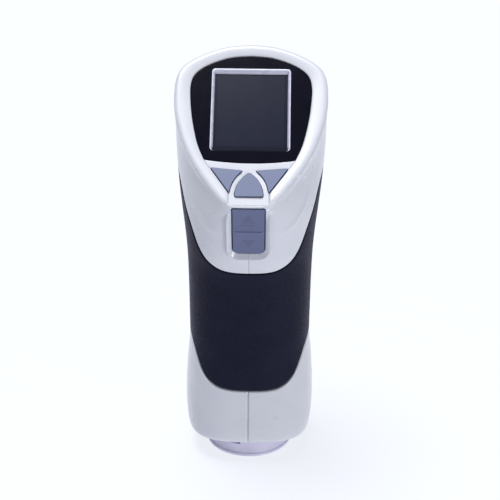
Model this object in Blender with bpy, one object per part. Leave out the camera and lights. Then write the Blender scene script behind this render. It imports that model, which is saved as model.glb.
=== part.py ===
# Hand-held colorimeter, standing on its calibration cap.
# World frame: origin at the centre of the cap's underside, +Z up, the screen faces -Y, +X is the
# instrument's side on the viewer's right. Lengths are in metres.

import bpy
import bmesh
import math
from mathutils import Matrix, Vector

MM = 0.001

# Whole instrument
BODY_WIDTH = 71.0 * MM
BODY_DEPTH = 86.0 * MM
BODY_HEIGHT = 193.0 * MM
WALL = 4.0 * MM
FLOOR = 3.0 * MM
GAP = 0.3 * MM
OVERRUN = 5.0 * MM
SKIN_CLEAR = 1.0 * MM
MITRE_LIMIT_SHARE = 0.4
RING_POINTS = 32
RINGS_PER_STATION = 2
CAVITY_RING_POINTS = 24
ROUND_STEPS = 32
SPHERE_STEPS = 5
HOLE_STEPS = 12

# Calibration cap, measuring nose and white standard
CAP_HEIGHT = 9.6 * MM
CAP_FLOOR = 1.8 * MM
CAP_WALL = 2.7 * MM
CAP_RIM_WIDTH = 0.6 * MM
CAP_RIM_HEIGHT = 1.6 * MM
CAP_EDGE = 0.5 * MM
CAP_TAPER = 0.1 * MM
CAP_TRAVEL_CLEAR = 0.3 * MM
TILE_THICKNESS = 2.0 * MM
NOSE_RADIUS = 18.0 * MM
NOSE_WALL = 2.0 * MM
NOSE_EDGE = 0.6 * MM
NOSE_FLANGE_WIDTH = 3.6 * MM
NOSE_BORE_DEPTH = 2.5 * MM
NOSE_SCREW_BITE = 1.5 * MM
APERTURE_RADIUS = 4.0 * MM
APERTURE_FLARE = 1.5 * MM

# Measuring optics
SPHERE_RADIUS = 17.0 * MM
SPHERE_WALL = 1.5 * MM
SPHERE_FLANGE_WIDTH = 2.4 * MM
SPHERE_FLANGE = 1.5 * MM
PORT_RADIUS = 5.5 * MM
FRAME_PLATE = 2.0 * MM
LED_RING_WIDTH = 7.0 * MM
SENSOR_TUBE_RADIUS = 8.0 * MM
SENSOR_TUBE_BORE = 4.5 * MM
SENSOR_TUBE_LENGTH = 14.0 * MM
LENS_THICKNESS = 2.4 * MM
LENS_CROWN = 0.8 * MM
LENS_BREAK_SHARES = (0.6, 0.3)
BOARD = 1.6 * MM

# Face: bezel, window, keys and screen
BEZEL_HEIGHT = 2.2 * MM
BEZEL_ROUNDING = 1.7 * MM
PANEL_RECESS = 0.6 * MM
PANEL_THICKNESS = 1.3 * MM
SCREEN_WIDTH = 35.8 * MM
SCREEN_HEIGHT = 41.2 * MM
SCREEN_CORNER = 1.6 * MM
TRIM_WIDTH = 1.3 * MM
LCD_MARGIN = 1.6 * MM
LCD_THICKNESS = 3.0 * MM
FACE_FRAME = 1.7 * MM
KEY_RISE = 0.8 * MM
KEY_TRAVEL = 0.7 * MM
KEY_FLANGE = 0.8 * MM
KEY_FLANGE_WIDTH = 0.7 * MM
KEY_EDGE = 0.3 * MM
KEY_STRIP = 1.2 * MM
MAT_THICKNESS = 1.2 * MM

# Up and down rocker
ROCKER_WIDTH = 14.2 * MM
ROCKER_LENGTH = 26.8 * MM
ROCKER_CORNER = 2.6 * MM
ROCKER_TOP_CORNER = 0.7 * MM
ROCKER_THICKNESS = 3.6 * MM
ROCKER_RISE = 0.4 * MM
ROCKER_GAP = 0.5 * MM
ROCKER_LUG_WIDTH = 8.6 * MM
ROCKER_LUG_LENGTH = 3.0 * MM
ROCKER_PIN_DEPTH = 5.4 * MM
ROCKER_PIN_RADIUS = 0.7 * MM
ROCKER_EAR = 1.5 * MM
ROCKER_EAR_LENGTH = 4.0 * MM
ROCKER_BOARD_DEPTH = 8.8 * MM
ROCKER_SWITCH_PITCH = 10.6 * MM
SWITCH_SIZE = 4.4 * MM
SWITCH_BODY = 2.4 * MM
SWITCH_STEM_RADIUS = 1.2 * MM
SWITCH_CLEARANCE = 0.45 * MM

# Rubber grip, battery door and measuring button
GRIP_THICKNESS = 1.3 * MM
DOOR_WIDTH = 43.0 * MM
DOOR_HEIGHT = 58.0 * MM
DOOR_FOOT = 71.0 * MM
DOOR_THICKNESS = 2.6 * MM
DOOR_TOP_GAP = 0.7 * MM
BATTERY_WIDTH = 37.0 * MM
BATTERY_DEPTH = 18.0 * MM
BATTERY_LENGTH = 52.0 * MM
HOLDER_WALL = 1.6 * MM
BUTTON_WIDTH = 13.0 * MM
BUTTON_HEIGHT = 17.0 * MM
BUTTON_RISE = 2.0 * MM
BUTTON_TRAVEL = 1.5 * MM
BUTTON_FLANGE = 1.0 * MM
BUTTON_FLANGE_WIDTH = 1.1 * MM
BUTTON_LIFT = 13.0 * MM
BUTTON_EDGE = 0.8 * MM
BUTTON_SEAT = 1.2 * MM
SWITCH_HEIGHT = 3.4 * MM

# Slide switch, socket and flap on the flanks of the foot
FLANK_HEIGHT = 31.0 * MM
FLANK_SETBACK = 9.0 * MM
SLIDER_WIDTH = 6.0 * MM
SLIDER_HEIGHT = 6.0 * MM
SLIDER_TRAVEL = 4.0 * MM
SLIDER_RISE = 0.5 * MM
SLIDER_FLANGE = 1.0 * MM
POWER_BODY_DEPTH = 4.0 * MM
POWER_BODY_WIDTH = 8.0 * MM
FLAP_WIDTH = 15.0 * MM
FLAP_HEIGHT = 10.0 * MM
FLAP_THICKNESS = 1.5 * MM
FLAP_TOP_GAP = 0.5 * MM
SOCKET_WIDTH = 9.0 * MM
SOCKET_HEIGHT = 4.6 * MM
SOCKET_DEPTH = 5.6 * MM
SOCKET_SETBACK = 1.5 * MM
SOCKET_SHELL = 0.7 * MM

# Boards and fasteners
MAIN_BOARD_SETBACK = 9.0 * MM
MAIN_BOARD_FOOT = 58.0 * MM
MAIN_BOARD_TOP = 127.0 * MM
SCREW_RADIUS = 1.0 * MM
SCREW_HEAD_RADIUS = 2.0 * MM
SCREW_HEAD = 1.3 * MM
CASE_SCREW_LENGTH = 30.0 * MM
CASE_SCREW_SEAT = 7.0 * MM
BOSS_RADIUS = 3.4 * MM

# Rings of the housing, foot to face, as shares of depth, height, depth, height and half width,
# then the squareness of the oval and how far it has turned into the shield of the face
BODY_STATION_SHARES = (
    (-0.282, 0.000, 0.305, 0.000, 0.775, 2.80, 0.00),
    (-0.315, 0.012, 0.338, 0.012, 0.842, 2.90, 0.00),
    (-0.333, 0.052, 0.356, 0.052, 0.872, 2.80, 0.00),
    (-0.342, 0.109, 0.360, 0.109, 0.878, 2.70, 0.00),
    (-0.347, 0.187, 0.344, 0.197, 0.860, 2.60, 0.00),
    (-0.344, 0.265, 0.314, 0.280, 0.815, 2.60, 0.00),
    (-0.344, 0.353, 0.288, 0.374, 0.815, 2.60, 0.00),
    (-0.356, 0.431, 0.279, 0.472, 0.821, 2.60, 0.00),
    (-0.384, 0.493, 0.288, 0.555, 0.832, 2.50, 0.00),
    (-0.426, 0.539, 0.319, 0.638, 0.855, 2.45, 0.00),
    (-0.463, 0.583, 0.370, 0.721, 0.896, 2.40, 0.05),
    (-0.498, 0.627, 0.421, 0.798, 0.940, 2.40, 0.15),
    (-0.523, 0.660, 0.433, 0.871, 0.976, 2.35, 0.35),
    (-0.542, 0.682, 0.378, 0.937, 0.995, 2.30, 0.62),
    (-0.550, 0.693, 0.256, 0.981, 1.000, 2.30, 0.88),
    (-0.553, 0.698, 0.141, 0.997, 1.000, 2.30, 1.00),
)

# Outlines on the face, as shares of half the body's width and of the face's length
SHIELD_SHARES = (
    (0.000, 0.000), (0.183, 0.002), (0.270, 0.014), (0.358, 0.043), (0.462, 0.096),
    (0.603, 0.176), (0.749, 0.280), (0.856, 0.380), (0.935, 0.487), (0.983, 0.576),
    (1.000, 0.667), (0.969, 0.759), (0.873, 0.820), (0.687, 0.902), (0.372, 0.971),
    (0.000, 0.994),
)
WINDOW_SIDE_SHARES = (
    (0.566, 0.280), (0.665, 0.399), (0.735, 0.530), (0.775, 0.639), (0.783, 0.717),
    (0.732, 0.776), (0.620, 0.827), (0.451, 0.872), (0.242, 0.904), (0.000, 0.913),
)
KEY_FIELD_SHARES = ((0.251, 0.020), (0.251, 0.088), (0.566, 0.280))
WINDOW_BOW_SHARE = 0.024
SCREEN_CENTRE_SHARE = 0.584
CANCEL_KEY_SHARES = ((0.242, 0.090), (0.479, 0.234), (0.079, 0.218))
SAVE_KEY_SHARES = ((-0.177, 0.071), (0.177, 0.071), (0.000, 0.208))
KEY_BOW_SHARE = 0.020
KEY_HOLLOW_SHARE = 0.016
FRAME_SCREW_SHARES = ((0.64, 0.42), (0.70, 0.72))

# Edges of the grip seen from the side, as shares of the body's depth and height
GRIP_TOP_SHARES = (
    (-0.698, 0.499), (-0.395, 0.502), (-0.374, 0.508), (-0.357, 0.530), (-0.340, 0.563),
    (-0.317, 0.612), (-0.278, 0.657), (-0.222, 0.698), (-0.140, 0.724), (0.000, 0.740),
    (0.256, 0.751), (0.698, 0.765),
)
GRIP_FOOT_SHARES = (
    (-0.698, 0.168), (-0.384, 0.169), (-0.335, 0.171), (-0.297, 0.193), (-0.263, 0.218),
    (-0.229, 0.245), (-0.182, 0.271), (-0.110, 0.290), (0.050, 0.302), (0.698, 0.305),
)
CASE_SCREW_SHARES = ((-0.140, 0.309), (-0.140, 0.430), (-0.140, 0.560), (0.116, 0.679))

BASE_Z = CAP_HEIGHT + GAP
HALF_WIDTH = BODY_WIDTH / 2
X_AXIS = Vector((1, 0, 0))
Z_AXIS = Vector((0, 0, 1))


def clear_scene():
    for obj in list(bpy.data.objects):
        bpy.data.objects.remove(obj, do_unlink=True)


def material(name, colour, roughness, metallic=0.0):
    made = bpy.data.materials.new(name)
    made.use_nodes = True
    shader = made.node_tree.nodes["Principled BSDF"]
    shader.inputs["Base Color"].default_value = (*colour, 1.0)
    shader.inputs["Roughness"].default_value = roughness
    shader.inputs["Metallic"].default_value = metallic
    return made


# Solids

def solid(name, verts, faces):
    mesh = bpy.data.meshes.new(name)
    mesh.from_pydata([tuple(v) for v in verts], [], faces)
    bm = bmesh.new()
    bm.from_mesh(mesh)
    bmesh.ops.triangulate(bm, faces=bm.faces)
    bmesh.ops.recalc_face_normals(bm, faces=bm.faces)
    bm.to_mesh(mesh)
    bm.free()
    obj = bpy.data.objects.new(name, mesh)
    bpy.context.collection.objects.link(obj)
    return obj


def loft(name, rings):
    """A closed solid through rings of equally many points, capped at both ends."""
    count = len(rings[0])
    verts = [point for ring in rings for point in ring]
    faces = [tuple(range(count))]
    for row in range(len(rings) - 1):
        for k in range(count):
            near = row * count
            after = (k + 1) % count
            faces.append((near + k, near + after, near + count + after, near + count + k))
    last = (len(rings) - 1) * count
    faces.append(tuple(range(last, last + count)))
    return solid(name, verts, faces)


def turned(name, profile, centre, steps=ROUND_STEPS):
    """A closed outline of radius and height turned about a vertical axis."""
    verts = []
    rows = []
    for radius, height in profile:
        if radius == 0:
            rows.append([len(verts)] * steps)
            verts.append(centre + Z_AXIS * height)
            continue
        rows.append(list(range(len(verts), len(verts) + steps)))
        for k in range(steps):
            turn = 2 * math.pi * k / steps
            verts.append(centre + Vector((radius * math.cos(turn), radius * math.sin(turn), height)))
    faces = []
    for row in range(len(rows)):
        here, there = rows[row], rows[(row + 1) % len(rows)]
        for k in range(steps):
            after = (k + 1) % steps
            corners = (here[k], here[after], there[after], there[k])
            corners = tuple(dict.fromkeys(corners))
            if len(corners) > 2:
                faces.append(corners)
    return solid(name, verts, faces)


def offset_outline(points, distance):
    """A closed outline, anticlockwise, moved outwards by a distance."""
    moved = []
    count = len(points)
    for k in range(count):
        before, here, after = (Vector(points[(k + j) % count]) for j in (-1, 0, 1))
        first = (here - before).normalized()
        second = (after - here).normalized()
        normal_a = Vector((first.y, -first.x))
        normal_b = Vector((second.y, -second.x))
        lean = max(1 + normal_a.dot(normal_b), MITRE_LIMIT_SHARE)
        moved.append(here + (normal_a + normal_b) * (distance / lean))
    return moved


def prism(name, outline, frame, low, high, edge=0.0):
    """An outline in the frame's own plane, drawn along its third axis, with its far edge broken."""
    levels = [(low, 0.0), (high, 0.0)]
    if edge:
        levels = [(low, 0.0), (high - edge, 0.0), (high, -edge)]
    rings = []
    for level, inset in levels:
        points = offset_outline(outline, inset) if inset else outline
        rings.append([frame @ Vector((p[0], p[1], level)) for p in points])
    return loft(name, rings)


def box(name, low, high):
    corners = ((low[0], low[1]), (high[0], low[1]), (high[0], high[1]), (low[0], high[1]))
    return prism(name, corners, Matrix.Identity(4), low[2], high[2])


def rectangle(width, height, corners=(0, 0, 0, 0), centre=(0, 0), steps=5):
    """Rounded rectangle, anticlockwise from its lower left corner; four corner radii."""
    points = []
    signs = ((-1, -1), (1, -1), (1, 1), (-1, 1))
    for index, (sx, sy) in enumerate(signs):
        radius = corners[index]
        cx = centre[0] + sx * (width / 2 - radius)
        cy = centre[1] + sy * (height / 2 - radius)
        if radius == 0:
            points.append((cx, cy))
            continue
        start = math.pi + index * math.pi / 2
        for k in range(steps + 1):
            turn = start + math.pi / 2 * k / steps
            points.append((cx + radius * math.cos(turn), cy + radius * math.sin(turn)))
    return points


def circle(radius, steps=HOLE_STEPS, centre=(0, 0)):
    turns = [2 * math.pi * (k + 0.5) / steps for k in range(steps)]
    return [(centre[0] + radius * math.cos(t), centre[1] + radius * math.sin(t)) for t in turns]


def is_closed(mesh):
    """Every edge has exactly two faces."""
    uses = {}
    for face in mesh.polygons:
        for edge in face.edge_keys:
            uses[edge] = uses.get(edge, 0) + 1
    return all(count == 2 for count in uses.values())


def combine(target, other, operation, keep=False):
    """Boolean with another object, applied at once; the other one goes unless it is kept.
    The exact solver comes first, and the manifold one where that leaves a mesh open."""
    modifier = target.modifiers.new(operation, "BOOLEAN")
    modifier.operation = operation
    modifier.object = other
    for solver in ("EXACT", "MANIFOLD"):
        modifier.solver = solver
        bpy.context.view_layer.update()
        graph = bpy.context.evaluated_depsgraph_get()
        mesh = bpy.data.meshes.new_from_object(target.evaluated_get(graph))
        if is_closed(mesh):
            break
    target.modifiers.clear()
    target.data = mesh
    if not keep:
        bpy.data.objects.remove(other, do_unlink=True)
    return target


def cut(target, *others):
    for other in others:
        combine(target, other, "DIFFERENCE")
    return target


def common(target, other):
    return combine(target, other, "INTERSECT")


def joined(target, *others):
    for other in others:
        combine(target, other, "UNION")
    return target


def duplicate(obj, name):
    copy = obj.copy()
    copy.data = obj.data.copy()
    copy.name = name
    bpy.context.collection.objects.link(copy)
    return copy


def finish_each(pieces, name, finish_material):
    for index, piece in enumerate(pieces):
        finish(piece, f"{name}_{index + 1}", finish_material)


def finish(obj, name, finish_material, pivot=None, smooth_angle=32):
    """Name, material, shading and, for a moving piece, its origin on the joint axis."""
    obj.name = name
    obj.data.name = name
    obj.data.materials.clear()
    obj.data.materials.append(finish_material)
    obj.data.shade_smooth()
    obj.data.set_sharp_from_angle(angle=math.radians(smooth_angle))
    if pivot is not None:
        obj.data.transform(Matrix.Translation(-pivot))
        obj.location = pivot
    return obj


# Curves

def smooth_value(before, start, end, after, t):
    return 0.5 * (2 * start + (end - before) * t
                  + (2 * before - 5 * start + 4 * end - after) * t * t
                  + (3 * start - before - 3 * end + after) * t ** 3)


def smooth_row(table, position):
    """A row read between the rows of a table, on a smooth curve through them."""
    index = min(int(position), len(table) - 2)
    t = position - index
    rows = [table[min(max(index + j, 0), len(table) - 1)] for j in (-1, 0, 1, 2)]
    return tuple(smooth_value(*column, t) for column in zip(*rows))


def smooth_outline(table, steps):
    return [smooth_row(table, k / steps) for k in range((len(table) - 1) * steps + 1)]


def even_outline(table, count):
    """The same smooth curve, read at even distances along it."""
    fine = smooth_outline(table, 12)
    lengths = [0.0]
    for a, b in zip(fine, fine[1:]):
        lengths.append(lengths[-1] + math.dist(a, b))
    points = []
    for k in range(count + 1):
        wanted = lengths[-1] * k / count
        index = next(i for i in range(1, len(fine)) if lengths[i] >= wanted or i == len(fine) - 1)
        t = (wanted - lengths[index - 1]) / (lengths[index] - lengths[index - 1])
        points.append(tuple(a + (b - a) * t for a, b in zip(fine[index - 1], fine[index])))
    return points


# Body of the instrument

def ring_ends(shares, inset=0.0):
    """Front and back end of a ring, drawn in from both sides."""
    front = Vector((0, shares[0] * BODY_DEPTH, BASE_Z + shares[1] * BODY_HEIGHT))
    back = Vector((0, shares[2] * BODY_DEPTH, BASE_Z + shares[3] * BODY_HEIGHT))
    along = (back - front).normalized()
    return front + along * inset, back - along * inset


def ring(shares, inset=0.0, count=RING_POINTS):
    front, back = ring_ends(shares, inset)
    middle, half = (front + back) / 2, (back - front) / 2
    width = shares[4] * HALF_WIDTH - inset
    power, turned_share = 2 / shares[5], shares[6]
    steps = count // 2
    shield = even_outline(SHIELD_SHARES, steps)
    right = []
    for k in range(steps + 1):
        turn = math.pi * k / steps
        side, ahead = math.sin(turn), math.cos(turn)
        x_oval = max(side, 0.0) ** power
        u_oval = -math.copysign(abs(ahead) ** power, ahead)
        x_share = x_oval + (shield[k][0] - x_oval) * turned_share
        u_share = u_oval + (2 * shield[k][1] - 1 - u_oval) * turned_share
        right.append((x_share * width, u_share))
    points = [middle + half * u + X_AXIS * x for x, u in right]
    points += [middle + half * u - X_AXIS * x for x, u in reversed(right[1:-1])]
    return points


def body(name, inset=0.0):
    last = len(BODY_STATION_SHARES) - 1
    positions = [k / RINGS_PER_STATION for k in range(last * RINGS_PER_STATION + 1)]
    return loft(name, [ring(smooth_row(BODY_STATION_SHARES, p), inset) for p in positions])


def cavity(inset):
    """What the housing holds inside, open through the face and level at the floor."""
    rings = [ring(shares, inset, CAVITY_RING_POINTS) for shares in BODY_STATION_SHARES]
    rings.append([point + FACE_NORMAL * OVERRUN for point in rings[-1]])
    inside = loft("cavity", rings)
    low = Vector((-BODY_WIDTH, -BODY_DEPTH, BASE_Z + FLOOR + inset - WALL))
    high = Vector((BODY_WIDTH, BODY_DEPTH, BASE_Z + BODY_HEIGHT + OVERRUN * 2))
    return common(inside, box("above_floor", low, high))


def seated(piece):
    """Trims a piece to the inside of the housing, a gap away from its walls."""
    return common(piece, cavity(WALL + GAP))


def skin(name, outer, inner):
    """A layer of the body's surface between two depths."""
    return cut(body(name, outer), body("inner", inner))


def side_curve(shares, rise):
    """An edge of the grip seen from the side, moved square to itself by a distance."""
    points = [(y * BODY_DEPTH, BASE_Z + z * BODY_HEIGHT) for y, z in smooth_outline(shares, 3)]
    moved = []
    for k, (y, z) in enumerate(points):
        before = points[max(k - 1, 0)]
        after = points[min(k + 1, len(points) - 1)]
        along = Vector((after[0] - before[0], after[1] - before[1])).normalized()
        moved.append((y - along.y * rise, z + along.x * rise))
    return moved


def grip_band(grow):
    """The stretch of the body that the rubber grip covers, drawn across the whole width."""
    outline = side_curve(GRIP_FOOT_SHARES, -grow) + side_curve(GRIP_TOP_SHARES, grow)[::-1]
    across = Matrix(((0, 0, 1, 0), (1, 0, 0, 0), (0, 1, 0, 0), (0, 0, 0, 1)))
    return prism("grip_band", outline, across, -BODY_WIDTH, BODY_WIDTH)


def frame_at(origin, right, up):
    """A placing matrix from its origin, its first axis and its second."""
    out = right.cross(up)
    rows = [(right[k], up[k], out[k], origin[k]) for k in range(3)]
    return Matrix(rows + [(0, 0, 0, 1)])


SHOULDER_FRONT, SHOULDER_BACK = ring_ends(BODY_STATION_SHARES[-1])
FACE_UP = (SHOULDER_BACK - SHOULDER_FRONT).normalized()
FACE_NORMAL = X_AXIS.cross(FACE_UP)
FACE_LENGTH = (SHOULDER_BACK - SHOULDER_FRONT).length
FACE = frame_at(SHOULDER_FRONT + FACE_NORMAL * BEZEL_HEIGHT, X_AXIS, FACE_UP)
FIRST_TURNED_SHARES = next(shares for shares in BODY_STATION_SHARES if shares[-1] > 0)
TONGUE_FRONT = ring_ends(FIRST_TURNED_SHARES)[0]
TONGUE_UP = (SHOULDER_FRONT - TONGUE_FRONT).normalized()
ROCKER_CENTRE = SHOULDER_FRONT - TONGUE_UP * (ROCKER_LENGTH / 2 + ROCKER_GAP)
ROCKER = frame_at(ROCKER_CENTRE, X_AXIS, TONGUE_UP)


def back_point(height):
    """Where the middle of the back meets a height, and its rising direction there."""
    fine = smooth_outline(BODY_STATION_SHARES, 8)
    ends = [ring_ends(shares)[1] for shares in fine]
    index = next(i for i, end in enumerate(ends) if end.z >= height)
    low, high = ends[index - 1], ends[index]
    t = (height - low.z) / (high.z - low.z)
    return low.lerp(high, t), (high - low).normalized()


def flank_x(y, z):
    """Half width of the body on the line across it at this depth and height."""
    for shares in smooth_outline(BODY_STATION_SHARES, 8):
        front, back = ring_ends(shares)
        along = (y - front.y) / (back.y - front.y)
        if front.z + (back.z - front.z) * along >= z:
            break
    off_centre = abs(2 * along - 1)
    return shares[4] * HALF_WIDTH * (1 - off_centre ** shares[5]) ** (1 / shares[5])


def on_face(shares):
    return [(x * HALF_WIDTH, s * FACE_LENGTH) for x, s in shares]


def mirrored_outline(right):
    """A right hand half outline, foot to top, closed by its mirror image, anticlockwise."""
    left = [(-x, s) for x, s in reversed(right) if x > 0]
    return list(right) + left


# Housing, grip and bezel

def slab(frame, low, high, foot=None, top=None):
    """A wide plate in a frame, between two depths and, where given, two heights."""
    foot = -BODY_HEIGHT if foot is None else foot
    top = BODY_HEIGHT if top is None else top
    outline = ((-BODY_WIDTH, foot), (BODY_WIDTH, foot), (BODY_WIDTH, top), (-BODY_WIDTH, top))
    return prism("slab", outline, frame, low, high)


def door_block(side_gap, foot_gap, top_gap):
    low = (-DOOR_WIDTH / 2 - side_gap, 0, DOOR_FOOT - foot_gap)
    high = (DOOR_WIDTH / 2 + side_gap, BODY_DEPTH, DOOR_FOOT + DOOR_HEIGHT + top_gap)
    return box("door_block", low, high)


def door_space():
    return door_block(GAP, GAP, DOOR_TOP_GAP)


def battery_block(gap):
    """The room that the battery needs, open to the back."""
    middle = DOOR_FOOT + DOOR_HEIGHT / 2
    half = (BATTERY_WIDTH / 2 + gap, BATTERY_LENGTH / 2 + gap)
    low = (-half[0], BATTERY_FRONT - gap, middle - half[1])
    high = (half[0], BODY_DEPTH, middle + half[1])
    return box("battery_block", low, high)


def button_outline(grow=0.0):
    radius = BUTTON_WIDTH / 2 + grow
    return rectangle(BUTTON_WIDTH + 2 * grow, BUTTON_HEIGHT + 2 * grow, (radius,) * 4, steps=6)


def rocker_outline(grow=0.0):
    low, high = ROCKER_CORNER + grow, ROCKER_TOP_CORNER + grow
    return rectangle(ROCKER_WIDTH + 2 * grow, ROCKER_LENGTH + 2 * grow, (low, low, high, high))


def screw_places():
    places = []
    for y_share, z_share in CASE_SCREW_SHARES:
        places.append(Vector((0, y_share * BODY_DEPTH, BASE_Z + z_share * BODY_HEIGHT)))
    return places


def along_x(place):
    """A frame whose third axis is +X, at a place on the middle plane."""
    return frame_at(place, Vector((0, 1, 0)), Z_AXIS)


def housing_halves(finish_material):
    housing = body("housing")
    cut(housing, cavity(WALL))
    recess = common(skin("recess", -SKIN_CLEAR, GRIP_THICKNESS + GAP), grip_band(GAP / 2))
    cut(housing, recess)
    for place in screw_places():
        reach = flank_x(place.y, place.z)
        boss = common(prism("boss", circle(BOSS_RADIUS), along_x(place), -reach, reach),
                      body("inside", GRIP_THICKNESS + WALL / 2))
        joined(housing, boss)
    seat_radius = SCREW_HEAD_RADIUS + GAP
    for place in screw_places():
        seat = flank_x(place.y, place.z) - CASE_SCREW_SEAT
        tip = seat - CASE_SCREW_LENGTH
        bore = prism("bore", circle(SCREW_RADIUS + GAP), along_x(place), tip - GAP, seat + GAP)
        counterbore = prism("counterbore", circle(seat_radius), along_x(place), seat, HALF_WIDTH)
        cut(housing, bore, counterbore)
    door_recess = common(skin("door_recess", -SKIN_CLEAR, DOOR_THICKNESS + GAP), door_space())
    cut(housing, door_recess, battery_block(GAP))
    cut(housing, prism("button_hole", button_outline(GAP), BACK, -WALL * 2, OVERRUN))
    slot = prism("slot", rocker_outline(ROCKER_GAP), ROCKER, -WALL * 2, OVERRUN)
    cut(housing, slot)
    nose_hole = turned("nose_hole", ((0, -OVERRUN), (NOSE_RADIUS + GAP, -OVERRUN),
                                     (NOSE_RADIUS + GAP, FLOOR * 2), (0, FLOOR * 2)),
                       Vector((0, 0, BASE_Z)))
    cut(housing, nose_hole)
    for frame in nose_screw_frames():
        bore = prism("nose_bore", circle(SCREW_RADIUS + GAP), frame, -NOSE_BORE_DEPTH, OVERRUN)
        cut(housing, bore)
    halves = []
    for side, name in ((-1, "housing_left"), (1, "housing_right")):
        half = duplicate(housing, name)
        reach = BODY_WIDTH * side
        edges = sorted((GAP / 2 * side, reach))
        low = (edges[0], -BODY_DEPTH, -BODY_HEIGHT)
        high = (edges[1], BODY_DEPTH, BODY_HEIGHT * 2)
        common(half, box("half_space", low, high))
        halves.append(half)
    bpy.data.objects.remove(housing, do_unlink=True)
    cut(halves[0], *slider_spaces())
    cut(halves[1], *flap_spaces())
    return [finish(half, half.name, finish_material) for half in halves]


def grip_sleeve(finish_material):
    sleeve = common(skin("sleeve", 0.0, GRIP_THICKNESS), grip_band(-GAP / 2))
    cut(sleeve, door_space())
    cut(sleeve, prism("button_hole", button_outline(GAP), BACK, -WALL * 2, OVERRUN))
    return finish(sleeve, "grip_sleeve", finish_material)


def opening_outline(grow=0.0):
    side = on_face(KEY_FIELD_SHARES[:-1]) + on_face(smooth_outline(WINDOW_SIDE_SHARES, 2))
    return offset_outline(mirrored_outline(side), grow)


def bezel(finish_material):
    half = on_face(even_outline(SHIELD_SHARES, RING_POINTS // 2))
    outline = mirrored_outline(half[1:-1])
    outline = [half[0]] + outline[:len(half) - 2] + [half[-1]] + outline[len(half) - 2:]
    foot = GAP - BEZEL_HEIGHT
    steps = 4
    rings = [[FACE @ Vector((x, s, foot)) for x, s in outline]]
    for k in range(steps + 1):
        turn = math.pi / 2 * k / steps
        inset = BEZEL_ROUNDING * (1 - math.cos(turn))
        level = BEZEL_ROUNDING * (math.sin(turn) - 1)
        if level <= foot:
            continue
        moved = offset_outline(outline, -inset)
        rings.append([FACE @ Vector((p[0], p[1], level)) for p in moved])
    ringed = loft("front_bezel", rings)
    cut(ringed, prism("opening", opening_outline(), FACE, -OVERRUN, OVERRUN))
    return finish(ringed, "front_bezel", finish_material)


# Window, screen and keys

def window_foot(count):
    """Lower edge of the window, bowed downwards between its two corners, left to right."""
    x_corner, s_corner = on_face(WINDOW_SIDE_SHARES[:1])[0]
    bow = WINDOW_BOW_SHARE * FACE_LENGTH
    points = []
    for k in range(1, count):
        x = -x_corner + 2 * x_corner * k / count
        points.append((x, s_corner - bow * (1 - (x / x_corner) ** 2)))
    return points


def screen_centre():
    return (0, SCREEN_CENTRE_SHARE * FACE_LENGTH)


def screen_outline(grow=0.0):
    radius = SCREEN_CORNER + grow
    return rectangle(SCREEN_WIDTH + 2 * grow, SCREEN_HEIGHT + 2 * grow, (radius,) * 4,
                     screen_centre())


def window_mask(finish_material):
    side = on_face(smooth_outline(WINDOW_SIDE_SHARES, 2))
    outline = window_foot(10) + mirrored_outline(side)
    outline = offset_outline(outline, -GAP)
    mask = prism("window_mask", outline, FACE, -PANEL_RECESS - PANEL_THICKNESS, -PANEL_RECESS)
    cut(mask, prism("screen_hole", screen_outline(), FACE, -OVERRUN, OVERRUN))
    return finish(mask, "window_mask", finish_material)


def screen_trim(finish_material):
    """Frame whose inner faces slope down to the screen."""
    low, high = -PANEL_RECESS - PANEL_THICKNESS, -PANEL_RECESS
    trim = prism("screen_trim", screen_outline(-GAP), FACE, low, high)
    rings = []
    for level, inset in ((low - OVERRUN, TRIM_WIDTH), (low, TRIM_WIDTH), (high, GAP * 2),
                         (high + OVERRUN, GAP * 2)):
        rings.append([FACE @ Vector((x, s, level)) for x, s in screen_outline(-inset)])
    cut(trim, loft("slope", rings))
    return finish(trim, "screen_trim", finish_material)


def lcd_outline(grow=0.0):
    return rectangle(SCREEN_WIDTH + 2 * grow, SCREEN_HEIGHT + 2 * (LCD_MARGIN + grow),
                     centre=screen_centre())


def lcd_panel(finish_material):
    panel = prism("lcd_panel", lcd_outline(), FACE, -BEZEL_HEIGHT - LCD_THICKNESS, -BEZEL_HEIGHT)
    return finish(panel, "lcd_panel", finish_material)


def bowed(points, bows, steps=6):
    """A closed outline whose sides swell outwards by the bows given, side by side."""
    outline = []
    count = len(points)
    for k in range(count):
        start, end = Vector(points[k]), Vector(points[(k + 1) % count])
        along = end - start
        out = Vector((along.y, -along.x)).normalized()
        for j in range(steps if bows[k] else 1):
            t = j / steps
            outline.append(start + along * t + out * (4 * bows[k] * t * (1 - t)))
    return outline


def key_outlines():
    """The three keys in face coordinates, anticlockwise."""
    bow = KEY_BOW_SHARE * FACE_LENGTH
    hollow = KEY_HOLLOW_SHARE * FACE_LENGTH
    cancel = bowed(on_face(CANCEL_KEY_SHARES), (0, 0, -hollow))
    enter = [Vector((-p.x, p.y)) for p in reversed(cancel)]
    save = bowed(on_face(SAVE_KEY_SHARES), (0, bow, bow))
    return {"key_enter": enter, "key_cancel": cancel, "key_save": save}


def middle_of(points):
    return sum((Vector(p) for p in points), Vector((0, 0))) / len(points)


def key_panel(finish_material):
    foot = -PANEL_RECESS - PANEL_THICKNESS
    corner = on_face(WINDOW_SIDE_SHARES[:1])[0]
    right = on_face(KEY_FIELD_SHARES[:-1]) + [corner]
    left = [(-x, s) for x, s in reversed(right)]
    outline = offset_outline(right + window_foot(10)[::-1] + left, -GAP)
    panel = prism("key_panel", outline, FACE, foot, -PANEL_RECESS)
    for points in key_outlines().values():
        cut(panel, prism("key_hole", offset_outline(points, GAP), FACE, -OVERRUN, OVERRUN))
    return finish(panel, "key_panel", finish_material)


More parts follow.
